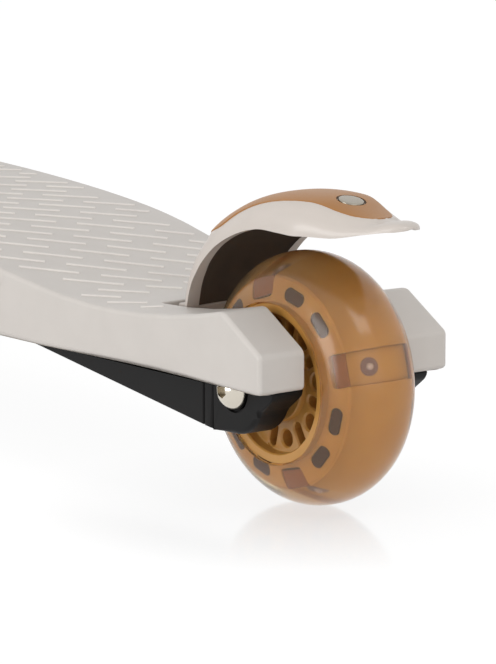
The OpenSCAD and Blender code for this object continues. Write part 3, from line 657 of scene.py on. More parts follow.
# Satin anodised aluminium tube, with the drawing lines along it
TUBE = Finish("anodised_aluminium", "#C9C7C2", "#C2C0BB", 0.3, metallic=1.0, grain=0.35, relief=0.006,
              stretch=(1.0, 1.0, 0.03))
# Cast aluminium, blasted: a soft grey with a fine pebble
BRACKET = Finish("cast_aluminium", "#A9A7A3", "#9F9D99", 0.42, metallic=1.0, grain=0.5, relief=0.04)
# Moulded rubber in tan: matt, with a fine leathery grain
GRIP = Finish("moulded_rubber_tan", "#B4824F", "#AB7947", 0.6, grain=0.4, relief=0.05)
# Moulded rubber in black: matt and a little rough
PAD = Finish("moulded_rubber_black", "#2E2B2A", "#262423", 0.7, grain=0.4, relief=0.06)
# Turned acetal without a dye: milky white, with a waxy light
ACETAL = Finish("acetal_natural", "#D9D5CB", "#D3CFC4", 0.4, relief=0.01)
# Board under the light: a dark violet ring, seen through the tyre
BOARD = Finish("light_module_dark", "#75505C", "#6C4955", 0.4, relief=0.01)
# Lens of the light, cast in pale epoxy: a glossy lilac spot
LENS = Finish("light_lens_white", "#C4B4C8", "#BEAEC2", 0.2, relief=0.002, subsurface=0.2)


@functools.cache
def material(finish: Finish) -> bpy.types.Material:
    """The material of a finish, made once."""
    return finish.build()


def dress(piece: bpy.types.Object, finish: Finish, node: str, stands_for: Sequence[str] = (),
          smooth: float = 32) -> bpy.types.Object:
    """Shades and finishes a piece, and hands it to the frame.

    Args:
        piece: the finished mesh.
        finish: its surface.
        node: the CAD node that it belongs to, which gives its body.
        stands_for: the CAD nodes that it replaces.
        smooth: largest angle between faces that is shaded smooth, in degrees.

    Returns:
        The piece.
    """
    pick(piece)
    bpy.ops.object.shade_smooth_by_angle(angle=math.radians(smooth))
    for modifier in list(piece.modifiers):
        bpy.ops.object.modifier_apply(modifier=modifier.name)
    apply_modifier(piece, "WEIGHTED_NORMAL", keep_sharp=True, weight=50)
    piece.data.materials.clear()
    piece.data.materials.append(material(finish))
    source = frame["nodes"][node]
    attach(piece, source["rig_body"])
    if stands_for:
        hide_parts(*stands_for)
    LOG.info("%s: %d faces, %s, stands for %s", piece.name, len(piece.data.polygons), finish.name,
             ", ".join(stands_for) or "no node")
    return piece


def dress_node(node: str, finish: Finish) -> None:
    """Gives a CAD node that is kept a better material."""
    frame["nodes"][node].material_slots[0].material = material(finish)
    LOG.info("%s: kept, %s", node, finish.name)


def rounded(node: str, name: str, radius: float, finish: Finish, segments: int = 3) -> bpy.types.Object:
    """Replaces a CAD node by the same shape with rounded edges."""
    return dress(soften(recast(node, name), radius, segments), finish, node, [node])


# Fasteners


@dataclass
class Screw:
    """A screw with a domed head and a hexagon socket, its underside at the place and its shank below.

    Head, shank and key are radii.
    """

    head: float
    height: float
    shank: float
    length: float
    key: float = 2.9
    key_deep: float = 0.62
    rim: float = 0.12
    chamfer: float = 0.4
    burr: float = 0.15
    dome_steps: int = 8

    def build(self) -> bpy.types.Object:
        """Models one screw, pointing up from the origin.

        Returns:
            The screw.
        """
        ball = (self.head ** 2 + self.height ** 2) / (2 * self.height)
        rim = self.rim * self.height
        top = math.asin(min(1.0, self.head / ball))
        outline = [(0, -self.length), (self.shank - self.chamfer, -self.length),
                   (self.shank, -self.length + self.chamfer), (self.shank, 0),
                   (self.head - self.burr, 0), (self.head, self.burr)]
        for i in range(self.dome_steps):
            turn = top * (1 - i / self.dome_steps)
            share = 1 - (1 - math.cos(turn)) / (1 - math.cos(top))
            outline.append((ball * math.sin(turn), rim + (self.height - rim) * share))
        outline.append((0, self.height))
        socket = peg(2 * self.key, 2 * self.key, self.height * self.key_deep, sides=6)
        socket.data.transform(Matrix.Translation(UP * self.height * MM))
        return carve(lathe("screw", outline, Vector(), UP, steps=48), [socket])

    def set_in(self, name: str, places: Sequence[Matrix], finish: Finish, node: str) -> bpy.types.Object:
        """Copies the screw to its places and dresses them as one piece.

        Args:
            name: name of the piece.
            places: where each screw goes.
            finish: its surface.
            node: the CAD node that it replaces.

        Returns:
            The piece.
        """
        template = self.build()
        screws = [twin(template, f"{name}_{i}", place) for i, place in enumerate(places)]
        drop(template)
        return dress(join(name, screws), finish, node, [node])


# Sub-assemblies


@dataclass
class Deck:
    """The deck's shell with its grip dashes, and the under frame that carries the rear axle.

    The rows of dashes are turned by row_turn from X, and every other row is shifted. The dashes keep clear of
    a border, and of the slot that the fender's foot stands in.
    """

    edge: float = 2.0
    inner: float = 30.0
    inner_edge: float = 0.8
    dash_length: float = 25.5
    dash_width: float = 1.7
    dash_rise: float = 0.6
    dash_pitch: float = 33.9
    dash_shortest: int = 9
    row_pitch: float = 10.35
    row_shift: float = 15.0
    row_turn: float = -128.0
    row_start: float = 110.0
    rows: range = range(-34, 12)
    steps: range = range(-8, 9)
    tread_front: float = 414.0
    tread_rear: float = 14.0
    tread_slot: float = 84.0
    tread_half: float = 66.0
    tread_slope: float = 0.9
    slot_half: float = 30.0
    border: float = 5.5
    above: float = 0.1
    lug_edge: float = 2.0
    lug_radius: float = 19.0
    groove_in: float = 8.1
    groove_out: float = 9.1
    groove_deep: float = 1.4
    face: float = 38.0

    def build(self) -> None:
        """Builds the deck's pieces."""
        shell = recast("deck", "deck_shell")
        soften(shell, self.edge, 4, where=lambda place: abs(place.y) > self.inner * MM)
        soften(shell, self.inner_edge, 3, 35, where=lambda place: abs(place.y) < self.inner * MM)
        dress(shell, SHELL, "deck", ["deck"])
        self.skin = BVHTree.FromObject(shell, bpy.context.evaluated_depsgraph_get())
        self.tread()
        self.under_frame()
        for node in ("deck_screws", "bridge_screws"):
            rounded(node, f"{node}_zinc", 0.3, ZINC, 2)

    def height(self, spot: Vector) -> Optional[float]:
        """Height of the shell's top at a spot, in metres, or nothing where there is none or it is steep."""
        hit, normal, _, _ = self.skin.ray_cast(Vector((spot.x, spot.y, AXLE.z + self.above)), -UP)
        return hit.z if hit and normal.z > 0.9 else None

    def on_tread(self, spot: Vector) -> bool:
        """Whether a spot is on the part of the deck that has dashes.

        Args:
            spot: the spot, in metres.

        Returns:
            True where a dash may lie.
        """
        ahead = (spot.x - AXLE.x) / MM
        wide = abs(spot.y) / MM
        slanted = self.tread_rear + (self.tread_half - wide) * self.tread_slope
        rear = self.tread_slot if wide < self.slot_half else slanted
        if not max(self.tread_rear, rear) < ahead < self.tread_front:
            return False
        return all(self.height(spot + ACROSS * sign * self.border * MM) is not None for sign in SIGNS)

    def dash(self) -> bpy.types.Object:
        """Models one dash of unit length along X, with cuts that let it follow the deck.

        Returns:
            The dash, standing on the XY plane.
        """
        deselect()
        bpy.ops.mesh.primitive_cube_add(size=1)
        piece = settle_primitive("dash")
        with editing(piece, everything=False):
            for cut in (-0.25, 0.0, 0.25):
                bpy.ops.mesh.select_all(action="SELECT")
                bpy.ops.mesh.bisect(plane_co=(cut, 0, 0), plane_no=(1, 0, 0))
        reshape(piece, lambda p: Vector((p.x, p.y * self.dash_width * MM,
                                         (p.z + 0.5) * 2 * self.dash_rise * MM)))
        return soften(piece, self.dash_width * 0.42, 3)

    def lay(self, template: bpy.types.Object, way: Vector, first: Vector, last: Vector) -> bpy.types.Object:
        """Lays a copy of the dash on the deck, sunk by half its height.

        Args:
            template: the dash.
            way: direction of its row.
            first: where it starts.
            last: where it ends.

        Returns:
            The copy.
        """
        across = UP.cross(way)

        def settle(p: Vector) -> Vector:
            """Place on the deck of a point of the unit dash.

            Args:
                p: the point.

            Returns:
                Its place.
            """
            spot = first + (last - first) * (p.x + 0.5)
            rise = (self.height(spot) or 0) - self.dash_rise * MM
            return Vector((spot.x, spot.y, 0)) + across * p.y + UP * (rise + p.z)

        return reshape(twin(template, "dash", Matrix.Identity(4)), settle)

    def tread(self) -> None:
        """Lays the raised dashes in slanted rows, clear of a border."""
        turn = math.radians(self.row_turn)
        way = Vector((math.cos(turn), math.sin(turn), 0))
        over = Vector((way.y, -way.x, 0))
        template = self.dash()
        dashes = []
        origin = at_rear(self.row_start, 0, 0)
        for row in self.rows:
            for step in self.steps:
                along = step * self.dash_pitch + (row % 2) * self.row_shift
                start = origin + over * row * self.row_pitch * MM + way * along * MM
                spots = [start + way * t * MM for t in range(int(self.dash_length) + 1)]
                kept = [spot for spot in spots if self.on_tread(spot)]
                if len(kept) >= self.dash_shortest:
                    dashes.append(self.lay(template, way, kept[0], kept[-1]))
        drop(template)
        # The dashes take a lighter material than the shell: painted highlight on their raised tops
        dress(join("deck_tread", dashes), DASH_PAINTED_HIGHLIGHT, "deck")

    def under_frame(self) -> None:
        """Rounds the under frame, whose halves are mirrored, and cuts the ring round each bolt head."""
        piece = recast("under_frame", "under_frame_moulding")
        soften(piece, 2.0, 3, 12, where=self.behind_lug)
        soften(piece, self.lug_edge, 4, where=self.on_lug)
        soften(piece, 0.6, 2, 35, where=lambda place: not self.on_lug(place))
        apply_modifier(piece, "MIRROR", use_axis=(False, True, False), use_bisect_axis=(False, True, False),
                       merge_threshold=0.002 * MM)
        apply_modifier(piece, "TRIANGULATE", min_vertices=8)
        groove = [(self.groove_in, -self.groove_deep), (self.groove_out, -self.groove_deep),
                  (self.groove_out, 1), (self.groove_in, 1)]
        rings = []
        for sign in SIGNS:
            seat = at_rear(0, sign * self.face, 0) + UP * AXLE.z
            rings.append(lathe("ring", groove, seat, ACROSS * sign, steps=48))
        carve(piece, rings)
        dress(piece, BLACK, "under_frame", ["under_frame"], smooth=50)

    def on_lug(self, place: Vector) -> bool:
        """Whether a place is on the outer rim of a lug that holds the axle."""
        outside = abs(place.y) > (self.face - 0.5) * MM and place.z < AXLE.z + 0.004
        return outside and (place - AXLE).xz.length < self.lug_radius * MM

    def behind_lug(self, place: Vector) -> bool:
        """Whether a place is on the underside of a lug, behind the axle."""
        inside = abs(place.y) < (self.face - 0.5) * MM
        return inside and place.x < AXLE.x - 0.006 and place.z < AXLE.z + 0.001


@dataclass
class Wheel:
    """A wheel: an amber core with holes, slots and pockets, a clear tyre round it, and light modules.

    Lip and core are radii, half and tyre_half are half widths. Pocket, case and flank are each a length round
    the rim, a height and an edge radius.
    """

    name: str
    lip: float
    half: float
    core: float
    tyre_half: float
    holes: int = 8
    lights: int = 4
    bore: float = 11.0
    hole: float = 6.6
    slot_w: float = 4.4
    slot_l: float = 9.8
    hole_turn: float = -9.0
    pocket_turn: float = -15.5
    window_spread: float = 14.0
    window_w: float = 4.8
    window_l: float = 10.8
    window_in: float = 5.0
    window_sunk: float = 0.9
    pocket_size: tuple[float, float, float] = (12.6, 12.0, 1.5)
    pocket_in: float = 1.2
    case_size: tuple[float, float, float] = (12.3, 3.4, 0.4)
    case_in: float = 4.4
    flank_size: tuple[float, float, float] = (12.3, 6.4, 0.25)
    flank_wall: float = 0.8
    flank_up: float = 0.9
    light_in: float = 2.8
    light_aside: float = 2.0
    bearing_bore: float = 4.05
    bearing_wide: float = 7.0

    def build(self) -> None:
        """Builds the wheel's pieces."""
        self.centre = middle(self.node("tyre"))
        low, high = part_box(self.node("tyre"))
        self.radius = (high.z - low.z) / 2 / MM
        self.face = self.half - 4.5
        self.tyre()
        self.hub()
        self.modules()
        self.bearings()

    def node(self, part: str) -> str:
        """Name of the CAD node that is a part of this wheel."""
        return f"{self.name}_{part}"

    def spoke(self, clock: float) -> Vector:
        """Direction from the axle, at an angle clockwise from the top as seen from the left."""
        return Vector((-math.sin(math.radians(clock)), 0, math.cos(math.radians(clock))))

    def tyre(self) -> None:
        """Spins the tyre's section: half an ellipse on the lip, with its inner wall sunk in the core."""
        deep = self.radius - self.lip
        crown = [(self.lip + deep * math.cos(math.radians(a)), self.tyre_half * math.sin(math.radians(a)))
                 for a in range(-88, 89, 4)]
        inner = self.lip - 0.6
        outline = [(inner, -self.half + 0.3), (self.lip - 0.1, -self.half - 0.2),
                   (self.lip + 0.3, -self.tyre_half), *crown, (self.lip + 0.3, self.tyre_half),
                   (self.lip - 0.1, self.half + 0.2), (inner, self.half - 0.3)]
        piece = lathe(f"{self.name}_tyre_cast", outline, self.centre, ACROSS, steps=144)
        dress(piece, TYRE, self.node("tyre"), [self.node("tyre")], smooth=40)

    def section(self) -> list[Point]:
        """Section of the core: bearing seats, recessed faces, lips, and the flank that the tyre grips.

        Returns:
            The closed outline, in radii and offsets along the axle.
        """
        seat = self.half - 7.5
        rim = self.lip - 4
        half = [(self.bore - 1, seat), (self.bore, seat), (self.bore, self.face + 1.4),
                (self.bore + 0.4, self.face + 2), (self.bore + 3.4, self.face + 2),
                (self.bore + 4, self.face + 1.4), (self.bore + 4.4, self.face), (rim - 1.2, self.face),
                (rim - 0.3, self.face + 0.4), (rim, self.face + 1.4), (rim, self.half - 0.5),
                (rim + 0.5, self.half), (self.lip - 0.5, self.half), (self.lip, self.half - 0.5),
                (self.lip, self.face), (self.core - 0.6, self.face - 2), (self.core, self.face - 2.8)]
        return half + [(r, -o) for r, o in reversed(half)]

    def hub(self) -> None:
        """Spins the core, cuts its holes, slots, pockets and windows, and sets dark brown plugs in the
        windows as painted shade.
        """
        piece = lathe(f"{self.name}_hub_core", self.section(), self.centre, ACROSS, steps=120)
        ring = (self.bore + 4 + self.lip - 4) / 2 + 0.6
        hole = peg(self.hole, self.hole, 6.5, flare=0.7)
        slot = peg(self.slot_w, self.slot_l, 7, flare=0.6)
        window = peg(self.window_w, self.window_l, 2 * self.window_sunk)
        # Dark brown plug sunk in each window: painted shade in the recess
        plug = peg(self.window_w - 0.1, self.window_l - 0.1, 1.1, rise=-0.4)
        shade_plugs = []
        tools = []
        turn, quarter = 360 / self.holes, 360 / self.lights
        for sign in SIGNS:
            out = ACROSS * sign
            for i in range(self.holes):
                for tool, clock in ((hole, i * turn), (slot, (i + 0.5) * turn)):
                    spoke = self.spoke(self.hole_turn + clock)
                    place = self.centre + (spoke * ring + out * self.face) * MM
                    tools.append(twin(tool, "cut", basis(place, out, spoke)))
            for i in range(self.lights):
                for spread in (-self.window_spread, self.window_spread):
                    spoke = self.spoke(self.pocket_turn + quarter * (i + 0.5) + spread)
                    lie = spoke * (self.core - self.window_in) + out * (self.face - self.window_sunk)
                    where = basis(self.centre + lie * MM, out, spoke.cross(out))
                    tools.append(twin(window, "cut", where))
                    shade_plugs.append(twin(plug, "plug", where))
        drop(hole, slot, window, plug)
        # The plugs are painted shade in the window recesses
        dress(join(f"{self.name}_hub_windows", shade_plugs), WINDOW_PAINTED_SHADE, self.node("hub"))
        length, height, edge = self.pocket_size
        pocket = block("pocket", length, 2 * self.half, height, edge)
        for spoke in self.light_spokes():
            where = basis(self.centre + spoke * (self.core - self.pocket_in) * MM, spoke, ACROSS.cross(spoke))
            tools.append(twin(pocket, "cut", where))
        drop(pocket)
        carve(piece, tools)
        dress(piece, HUB, self.node("hub"), [self.node("hub")])

    def light_spokes(self) -> list[Vector]:
        """Directions of the light modules."""
        return [self.spoke(self.pocket_turn + 360 / self.lights * i) for i in range(self.lights)]

    def modules(self) -> None:
        """Sets a light module in each pocket: an amber case with dull brown plates on its sides as painted
        shade, a board and a pale lens.
        """
        length, height, edge = self.case_size
        case = block("case", length, 2 * (self.face - 3), height, edge)
        board = lathe("board", [(0, 0), (3.3, 0), (3.3, 0.4), (3.0, 0.6), (0, 0.6)], Vector(), UP, steps=32)
        dome = [(1.3 * math.cos(a), 0.7 + 1.1 * math.sin(a)) for a in (0.4, 0.8, 1.2)]
        lens = lathe("lens", [(0, 0.3), (1.3, 0.3), (1.3, 0.7), *dome, (0, 1.8)], Vector(), UP, steps=24)
        length, height, edge = self.flank_size
        # Dull brown plates beside the case: painted shade on its sides
        flank = block("flank", length, self.flank_wall, height, edge)
        cases, boards, lenses, flanks = [], [], [], []
        for spoke in self.light_spokes():
            along = ACROSS.cross(spoke)
            case_at = basis(self.centre + spoke * (self.core - self.case_in) * MM, spoke, along)
            lie = spoke * (self.core - self.light_in) + ACROSS * self.light_aside
            light_at = basis(self.centre + lie * MM, spoke, along)
            cases.append(twin(case, "case", case_at))
            for sign in SIGNS:
                shift = ACROSS * sign * (self.face - 2.3) * MM + spoke * self.flank_up * MM
                flanks.append(twin(flank, "flank", Matrix.Translation(shift) @ case_at))
            boards.append(twin(board, "board", light_at))
            lenses.append(twin(lens, "lens", light_at))
        drop(case, board, lens, flank)
        lights = self.node("lights")
        dress(join(f"{self.name}_light_flanks", flanks), FLANK_PAINTED_SHADE, lights)
        dress(join(f"{self.name}_light_cases", cases), HUB, lights, [lights])
        dress(join(f"{self.name}_light_boards", boards), BOARD, lights)
        dress(join(f"{self.name}_light_lenses", lenses), LENS, lights)

    def bearings(self) -> None:
        """Spins each bearing with its races and the dust shield between them."""
        node = self.node("bearings")
        low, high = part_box(node)
        reach = (high.y - low.y) / 2 / MM
        out, inner, wide = self.bore, self.bearing_bore, self.bearing_wide
        outline = [(inner, 0), (inner, wide - 0.3), (inner + 0.3, wide), (inner + 2.1, wide),
                   (inner + 2.2, wide - 0.4), (out - 2.4, wide - 0.6), (out - 2.1, wide),
                   (out - 0.3, wide), (out, wide - 0.3), (out, 0)]
        rings = []
        for sign in SIGNS:
            seat = self.centre + ACROSS * sign * (reach - wide) * MM
            rings.append(lathe("bearing", outline, seat, ACROSS * sign, steps=48))
        dress(join(f"{self.name}_bearings_ground", rings), BEARING, node, [node])


@dataclass
class Brake:
    """The fender that is stepped on to brake, with its insert, stud, pad, hinge and spring.

    Leaf_front and leaf_back are the insert's ends ahead of the axle. The crown rises under the insert, falls
    off over rise_run, and has a shallow valley beside it. Stud_bore and stud_ring are widths.
    """

    stud_x: float = -23.6
    stud_z: float = 121.4
    stud_tilt: float = 14.0
    stud_bore: float = 5.2
    stud_ring: float = 11.7
    ring_deep: float = 0.4
    through: float = 20.0
    rows_each: int = 6
    # Place along the grid before which the fender's inside takes the painted shade
    painted_shade_to: float = 0.62
    arc_steps: int = 44
    leaf_front: float = 52.0
    leaf_back: float = -44.5
    leaf_swell: float = 22.0
    leaf_wide: float = 3.55
    leaf_power: float = 0.41
    leaf_thick: float = 1.12
    rise: float = 1.0
    rise_run: float = 5.0
    valley: float = 0.55
    valley_at: float = -6.0
    valley_long: float = 24.0
    valley_wide: float = 1.7
    nose: float = 4.6
    spring_half: float = 6.6
    # Ahead of the axle, height, depth of the arch, half width, flatness of its crown, thickness of its wall
    line: tuple = ((60, 73, 9.3, 23.5, 2, 6.0), (58.3, 84, 10.6, 23.5, 2, 5.6),
                   (55.3, 92.8, 12.1, 23.5, 2, 5.0), (49.8, 100.8, 12.5, 23.5, 2, 4.4),
                   (40.2, 109.2, 12.5, 23.5, 2, 3.8),
                   (28.8, 115.4, 12.3, 23.5, 2.1, 3.3), (17, 119.7, 12.2, 23.5, 2.3, 3.0),
                   (5, 122.2, 12.2, 23.5, 2.4, 2.8), (-8, 123, 12.9, 23.5, 2.5, 2.8),
                   (-20, 122.3, 12.6, 22.3, 2.5, 2.8), (-34, 118.8, 8.8, 17, 2.3, 2.8),
                   (-45, 117, 4.4, 12, 2.2, 2.6), (-53, 117.9, 3.8, 8.3, 2.6, 2.6),
                   (-60.6, 117.4, 2.8, 5, 2.8, 2.4))

    def build(self) -> None:
        """Builds the brake's pieces."""
        self.fender()
        self.insert()
        self.stud()
        rounded("brake_hinge", "brake_hinge_foot", 0.8, FENDER)
        rounded("brake_pad", "brake_pad_rubber", 0.6, PAD, 2)
        dress_node("brake_pin", ZINC)
        self.spring()

    def place(self, t: float) -> tuple[float, ...]:
        """A smooth curve through the line's points.

        Args:
            t: number of a point, plus a share of the way to the next.

        Returns:
            The line's values there.
        """
        i = min(int(t), len(self.line) - 2)
        u = t - i
        last = len(self.line) - 1
        a, b, c, d = (self.line[max(0, min(last, i + k))] for k in (-1, 0, 1, 2))
        return tuple(0.5 * (2 * q + (r - p) * u + (2 * p - 5 * q + 4 * r - s) * u * u
                            + (3 * q - p - 3 * r + s) * u ** 3) for p, q, r, s in zip(a, b, c, d))

    def leaf(self, x: float) -> float:
        """Half width of the insert, wide at the front and round at its rear end.

        Args:
            x: distance ahead of the axle, in millimetres.

        Returns:
            The half width, nought beyond its ends.
        """
        if not self.leaf_back < x < self.leaf_front:
            return 0.0
        swell = max(0.0, x - self.leaf_front + self.leaf_swell) / self.leaf_swell
        return self.leaf_wide * (x - self.leaf_back) ** self.leaf_power * math.sqrt(1 - swell ** 2)

    def lift(self, x: float, y: float) -> float:
        """Height of the raised crown, which carries the insert and falls off into a shallow valley.

        Args:
            x: distance ahead of the axle, in millimetres.
            y: distance from the middle.

        Returns:
            The height, in millimetres.
        """
        over = max(0.0, self.leaf_back - x, x - self.leaf_front)
        off = math.hypot(over, max(0.0, abs(y) - self.leaf(x)))
        share = min(1.0, off / self.rise_run)
        along = math.exp(-((x - self.valley_at) / self.valley_long) ** 2)
        dip = self.valley * along * math.exp(-((off - self.rise_run - 0.4) / self.valley_wide) ** 2)
        return self.rise * (1 - share * share * (3 - 2 * share)) - dip

    def arch(self, t: float, angle: float, sink: Optional[float] = 0.0) -> Vector:
        """A point of the arch.

        Args:
            t: place along the line.
            angle: place across it, in radians from the crown.
            sink: depth under the outer face, in millimetres, or nothing for the inner face.

        Returns:
            The point, in metres.
        """
        x, z, depth, half, flat, wall = self.place(t)
        sink = wall if sink is None else sink
        before, after = self.place(max(0, t - 0.05)), self.place(min(len(self.line) - 1, t + 0.05))
        run = Vector((after[0] - before[0], after[1] - before[1])).normalized()
        normal = Vector((1, 0)) if t < 0.01 else Vector((run.y, -run.x))
        blunt = math.sqrt(max(0.0, 1 - (max(0.0, -x + self.line[-1][0] + self.nose) / self.nose) ** 2))
        across = math.copysign(abs(math.sin(angle)) ** (2 / flat), angle)
        y = (half - sink) * across * max(blunt, 0.05)
        down = sink + (depth - sink) * (1 - max(0.0, math.cos(angle)) ** (2 / flat))
        middle_down = depth * 0.5
        down = middle_down + (down - middle_down) * max(blunt, 0.05)
        if sink == 0:
            down -= self.lift(x, y) * max(0.0, math.cos(angle)) ** 0.3 * blunt
        return at_rear(x - normal.x * down, y, z - normal.y * down)

    def fender(self) -> None:
        """Sweeps the arch along its line, closes its ends and bores it for the stud."""
        last = len(self.line) - 1
        rows = last * self.rows_each
        columns = 2 * (self.arc_steps + 1)
        deselect()
        bpy.ops.mesh.primitive_grid_add(x_subdivisions=rows, y_subdivisions=columns, size=2)
        piece = settle_primitive("fender_shell")

        def sweep(p: Vector) -> Vector:
            """Place of a point of the grid: along the outer face first, then back along the inner one.

            Args:
                p: the point.

            Returns:
                Its place on the arch.
            """
            row = round((p.x + 1) / 2 * rows)
            column = round((p.y + 1) / 2 * columns) % columns
            inside = column > self.arc_steps
            k = columns - 1 - column if inside else column
            angle = math.radians(90) * (2 * k / self.arc_steps - 1)
            return self.arch(row / self.rows_each, angle, None if inside else 0.0)

        # Inner faces toward the front take a second, dark brown material: painted shade in the hollow
        for face in piece.data.polygons:
            column = (face.center.y + 1) / 2 * columns
            inner = self.arc_steps + 1 < column < columns - 1
            face.material_index = int(inner and face.center.x < self.painted_shade_to)
        reshape(piece, sweep)
        close_up(piece)
        with editing(piece, everything=False):
            bpy.ops.mesh.select_mode(type="EDGE")
            bpy.ops.mesh.select_non_manifold()
            bpy.ops.mesh.fill()
            bpy.ops.mesh.select_all(action="SELECT")
            bpy.ops.mesh.normals_make_consistent(inside=False)
        bore = self.bore(self.stud_bore, self.through, 32)
        carve(piece, [bore, self.bore(self.stud_ring, self.ring_deep, 48)])
        inner = [face.material_index for face in piece.data.polygons]
        dress(piece, FENDER, "brake_fender", ["brake_fender"], smooth=35)
        # The second material is the painted shade of the hollow
        piece.data.materials.append(material(HOLLOW_PAINTED_SHADE))
        piece.data.polygons.foreach_set("material_index", inner)

    def bore(self, width: float, depth: float, sides: int) -> bpy.types.Object:
        """A tool for a hole along the stud's axis.

        Args:
            width: width of the hole.
            depth: how far it reaches below the stud's place.
            sides: number of sides.

        Returns:
            The tool.
        """
        tool = peg(width, width, depth, rise=12, sides=sides)
        tool.data.transform(self.stud_place())
        return tool

    def stud_place(self) -> Matrix:
        """Place of the stud, square on the crown.

        Returns:
            The place, its Z axis out of the crown.
        """
        tilt = math.radians(self.stud_tilt)
        out = Vector((-math.sin(tilt), 0, math.cos(tilt)))
        return basis(at_rear(self.stud_x, 0, self.stud_z), out, ACROSS)

    def insert(self) -> None:
        """Lays the leaf-shaped insert on the crown, rounds its edge and cuts the recess for the stud."""
        deselect()
        bpy.ops.mesh.primitive_grid_add(x_subdivisions=72, y_subdivisions=20, size=2)
        piece = settle_primitive("fender_insert_leaf")
        turns = {}
        for i in range(40 * (len(self.line) - 1) + 1):
            turns[round(self.place(i / 40)[0], 2)] = i / 40
        back, front = self.leaf_back + 0.02, self.leaf_front - 0.02

        def lay(p: Vector) -> Vector:
            """Place of a point of the grid, whose rows lie closer together at the ends.

            Args:
                p: the point.

            Returns:
                Its place on the arch.
            """
            x = (back + front) / 2 + math.sin(p.x * math.pi / 2) * (front - back) / 2
            t = turns[min(turns, key=lambda known: abs(known - x))]
            _, _, _, half, flat, _ = self.place(t)
            y = p.y * self.leaf(x)
            angle = math.asin(min(0.999, abs(y) / half) ** (flat / 2))
            return self.arch(t, math.copysign(angle, y), -1e-6)

        reshape(piece, lay)
        if sum(face.normal.z for face in piece.data.polygons) < 0:
            piece.data.flip_normals()
        apply_modifier(piece, "SOLIDIFY", thickness=self.leaf_thick * MM, offset=1.0, use_even_offset=False)
        soften(close_up(piece, 0.002), 0.3, 2, 50)
        carve(piece, [self.bore(self.stud_ring, self.through, 48)])
        dress(piece, TAN, "fender_insert", ["fender_insert"], smooth=40)

    def stud(self) -> None:
        """Spins the flat silver stud, with a rounded edge."""
        outline = [(0, -13), (2.4, -13), (2.4, 0.2), (4.9, 0.2), (5.0, 0.3), (5.0, 0.85), (4.85, 1.1),
                   (4.5, 1.22), (3.9, 1.25), (0, 1.3)]
        piece = lathe("fender_stud_plated", outline, Vector(), UP, steps=64)
        piece.data.transform(self.stud_place())
        # The stud's plating is painted greyer than the bolt heads: painted shade on its top
        dress(piece, STUD_PAINTED_SHADE, "fender_stud", ["fender_stud"], smooth=40)

    def spring(self) -> None:
        """Winds the return spring round the hinge pin."""
        centre = middle("brake_spring")
        half = ACROSS * self.spring_half * MM
        piece = coil("brake_return_spring", centre - half, centre + half, radius=3.8, thickness=1.3,
                     turns=8.25)
        dress(piece, SPRING, "brake_spring", ["brake_spring"], smooth=60)


@dataclass
class FrontEnd:
    """The bridge with its cover, the steering knuckles, tie bar and springs."""

    bolt_head: float = 7.0
    bolt_height: float = 4.4
    bolt_shank: float = 4.0
    spring_inner: float = 4.4

    def build(self) -> None:
        """Builds the front end's pieces."""
        rounded("front_bridge", "front_bridge_moulding", 0.8, BLACK, 2)
        rounded("front_cover", "front_cover_shell", 1.0, SHELL)
        for side in Side:
            rounded(f"{side.value}_knuckle", f"{side.value}_knuckle_moulding", 0.8, DARK, 2)
            dress_node(f"knuckle_bushes_{side.value}", ACETAL)
            dress_node(f"{side.value}_axle_spacers", ZINC)
            self.axle_bolt(side)
            self.centring_spring(side)
        rounded("tie_bar", "tie_bar_moulding", 0.8, DARK, 2)
        rounded("kingpins", "kingpin_bolts", 0.5, ZINC, 2)
        rounded("cover_screws", "cover_screws_zinc", 0.3, ZINC, 2)

    def axle_bolt(self, side: Side) -> None:
        """Sets the front axle bolt with its hexagon socket.

        Args:
            side: the side that it is on.
        """
        node = f"{side.value}_axle_bolt"
        near, far = side.reach(node)
        length = (far - near) / MM - self.bolt_height
        bolt = Screw(self.bolt_head, self.bolt_height, self.bolt_shank, length)
        centre = middle(node)
        seat = Vector((centre.x, 0, centre.z)) + side.out * (far - bolt.height * MM)
        bolt.set_in(f"{node}_plated", [basis(seat, side.out, UP)], NICKEL, node)

    def centring_spring(self, side: Side) -> None:
        """Winds one centring spring between the bridge and the tie bar.

        Args:
            side: the side that it is on.
        """
        node = "steering_springs"
        low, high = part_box(node)
        centre = (low + high) / 2
        outer = (high.y - low.y) / 2 / MM - 0.2
        ends = [side.out.y * reach * MM for reach in (outer, self.spring_inner)]
        start, end = (Vector((centre.x, y, centre.z)) for y in ends)
        piece = coil(f"{side.value}_centring_spring", start, end, radius=3.8, thickness=1.2, turns=11)
        dress(piece, SPRING, node, [node] if side is Side.LEFT else [], smooth=60)
        piece.parent = None
        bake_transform(piece)


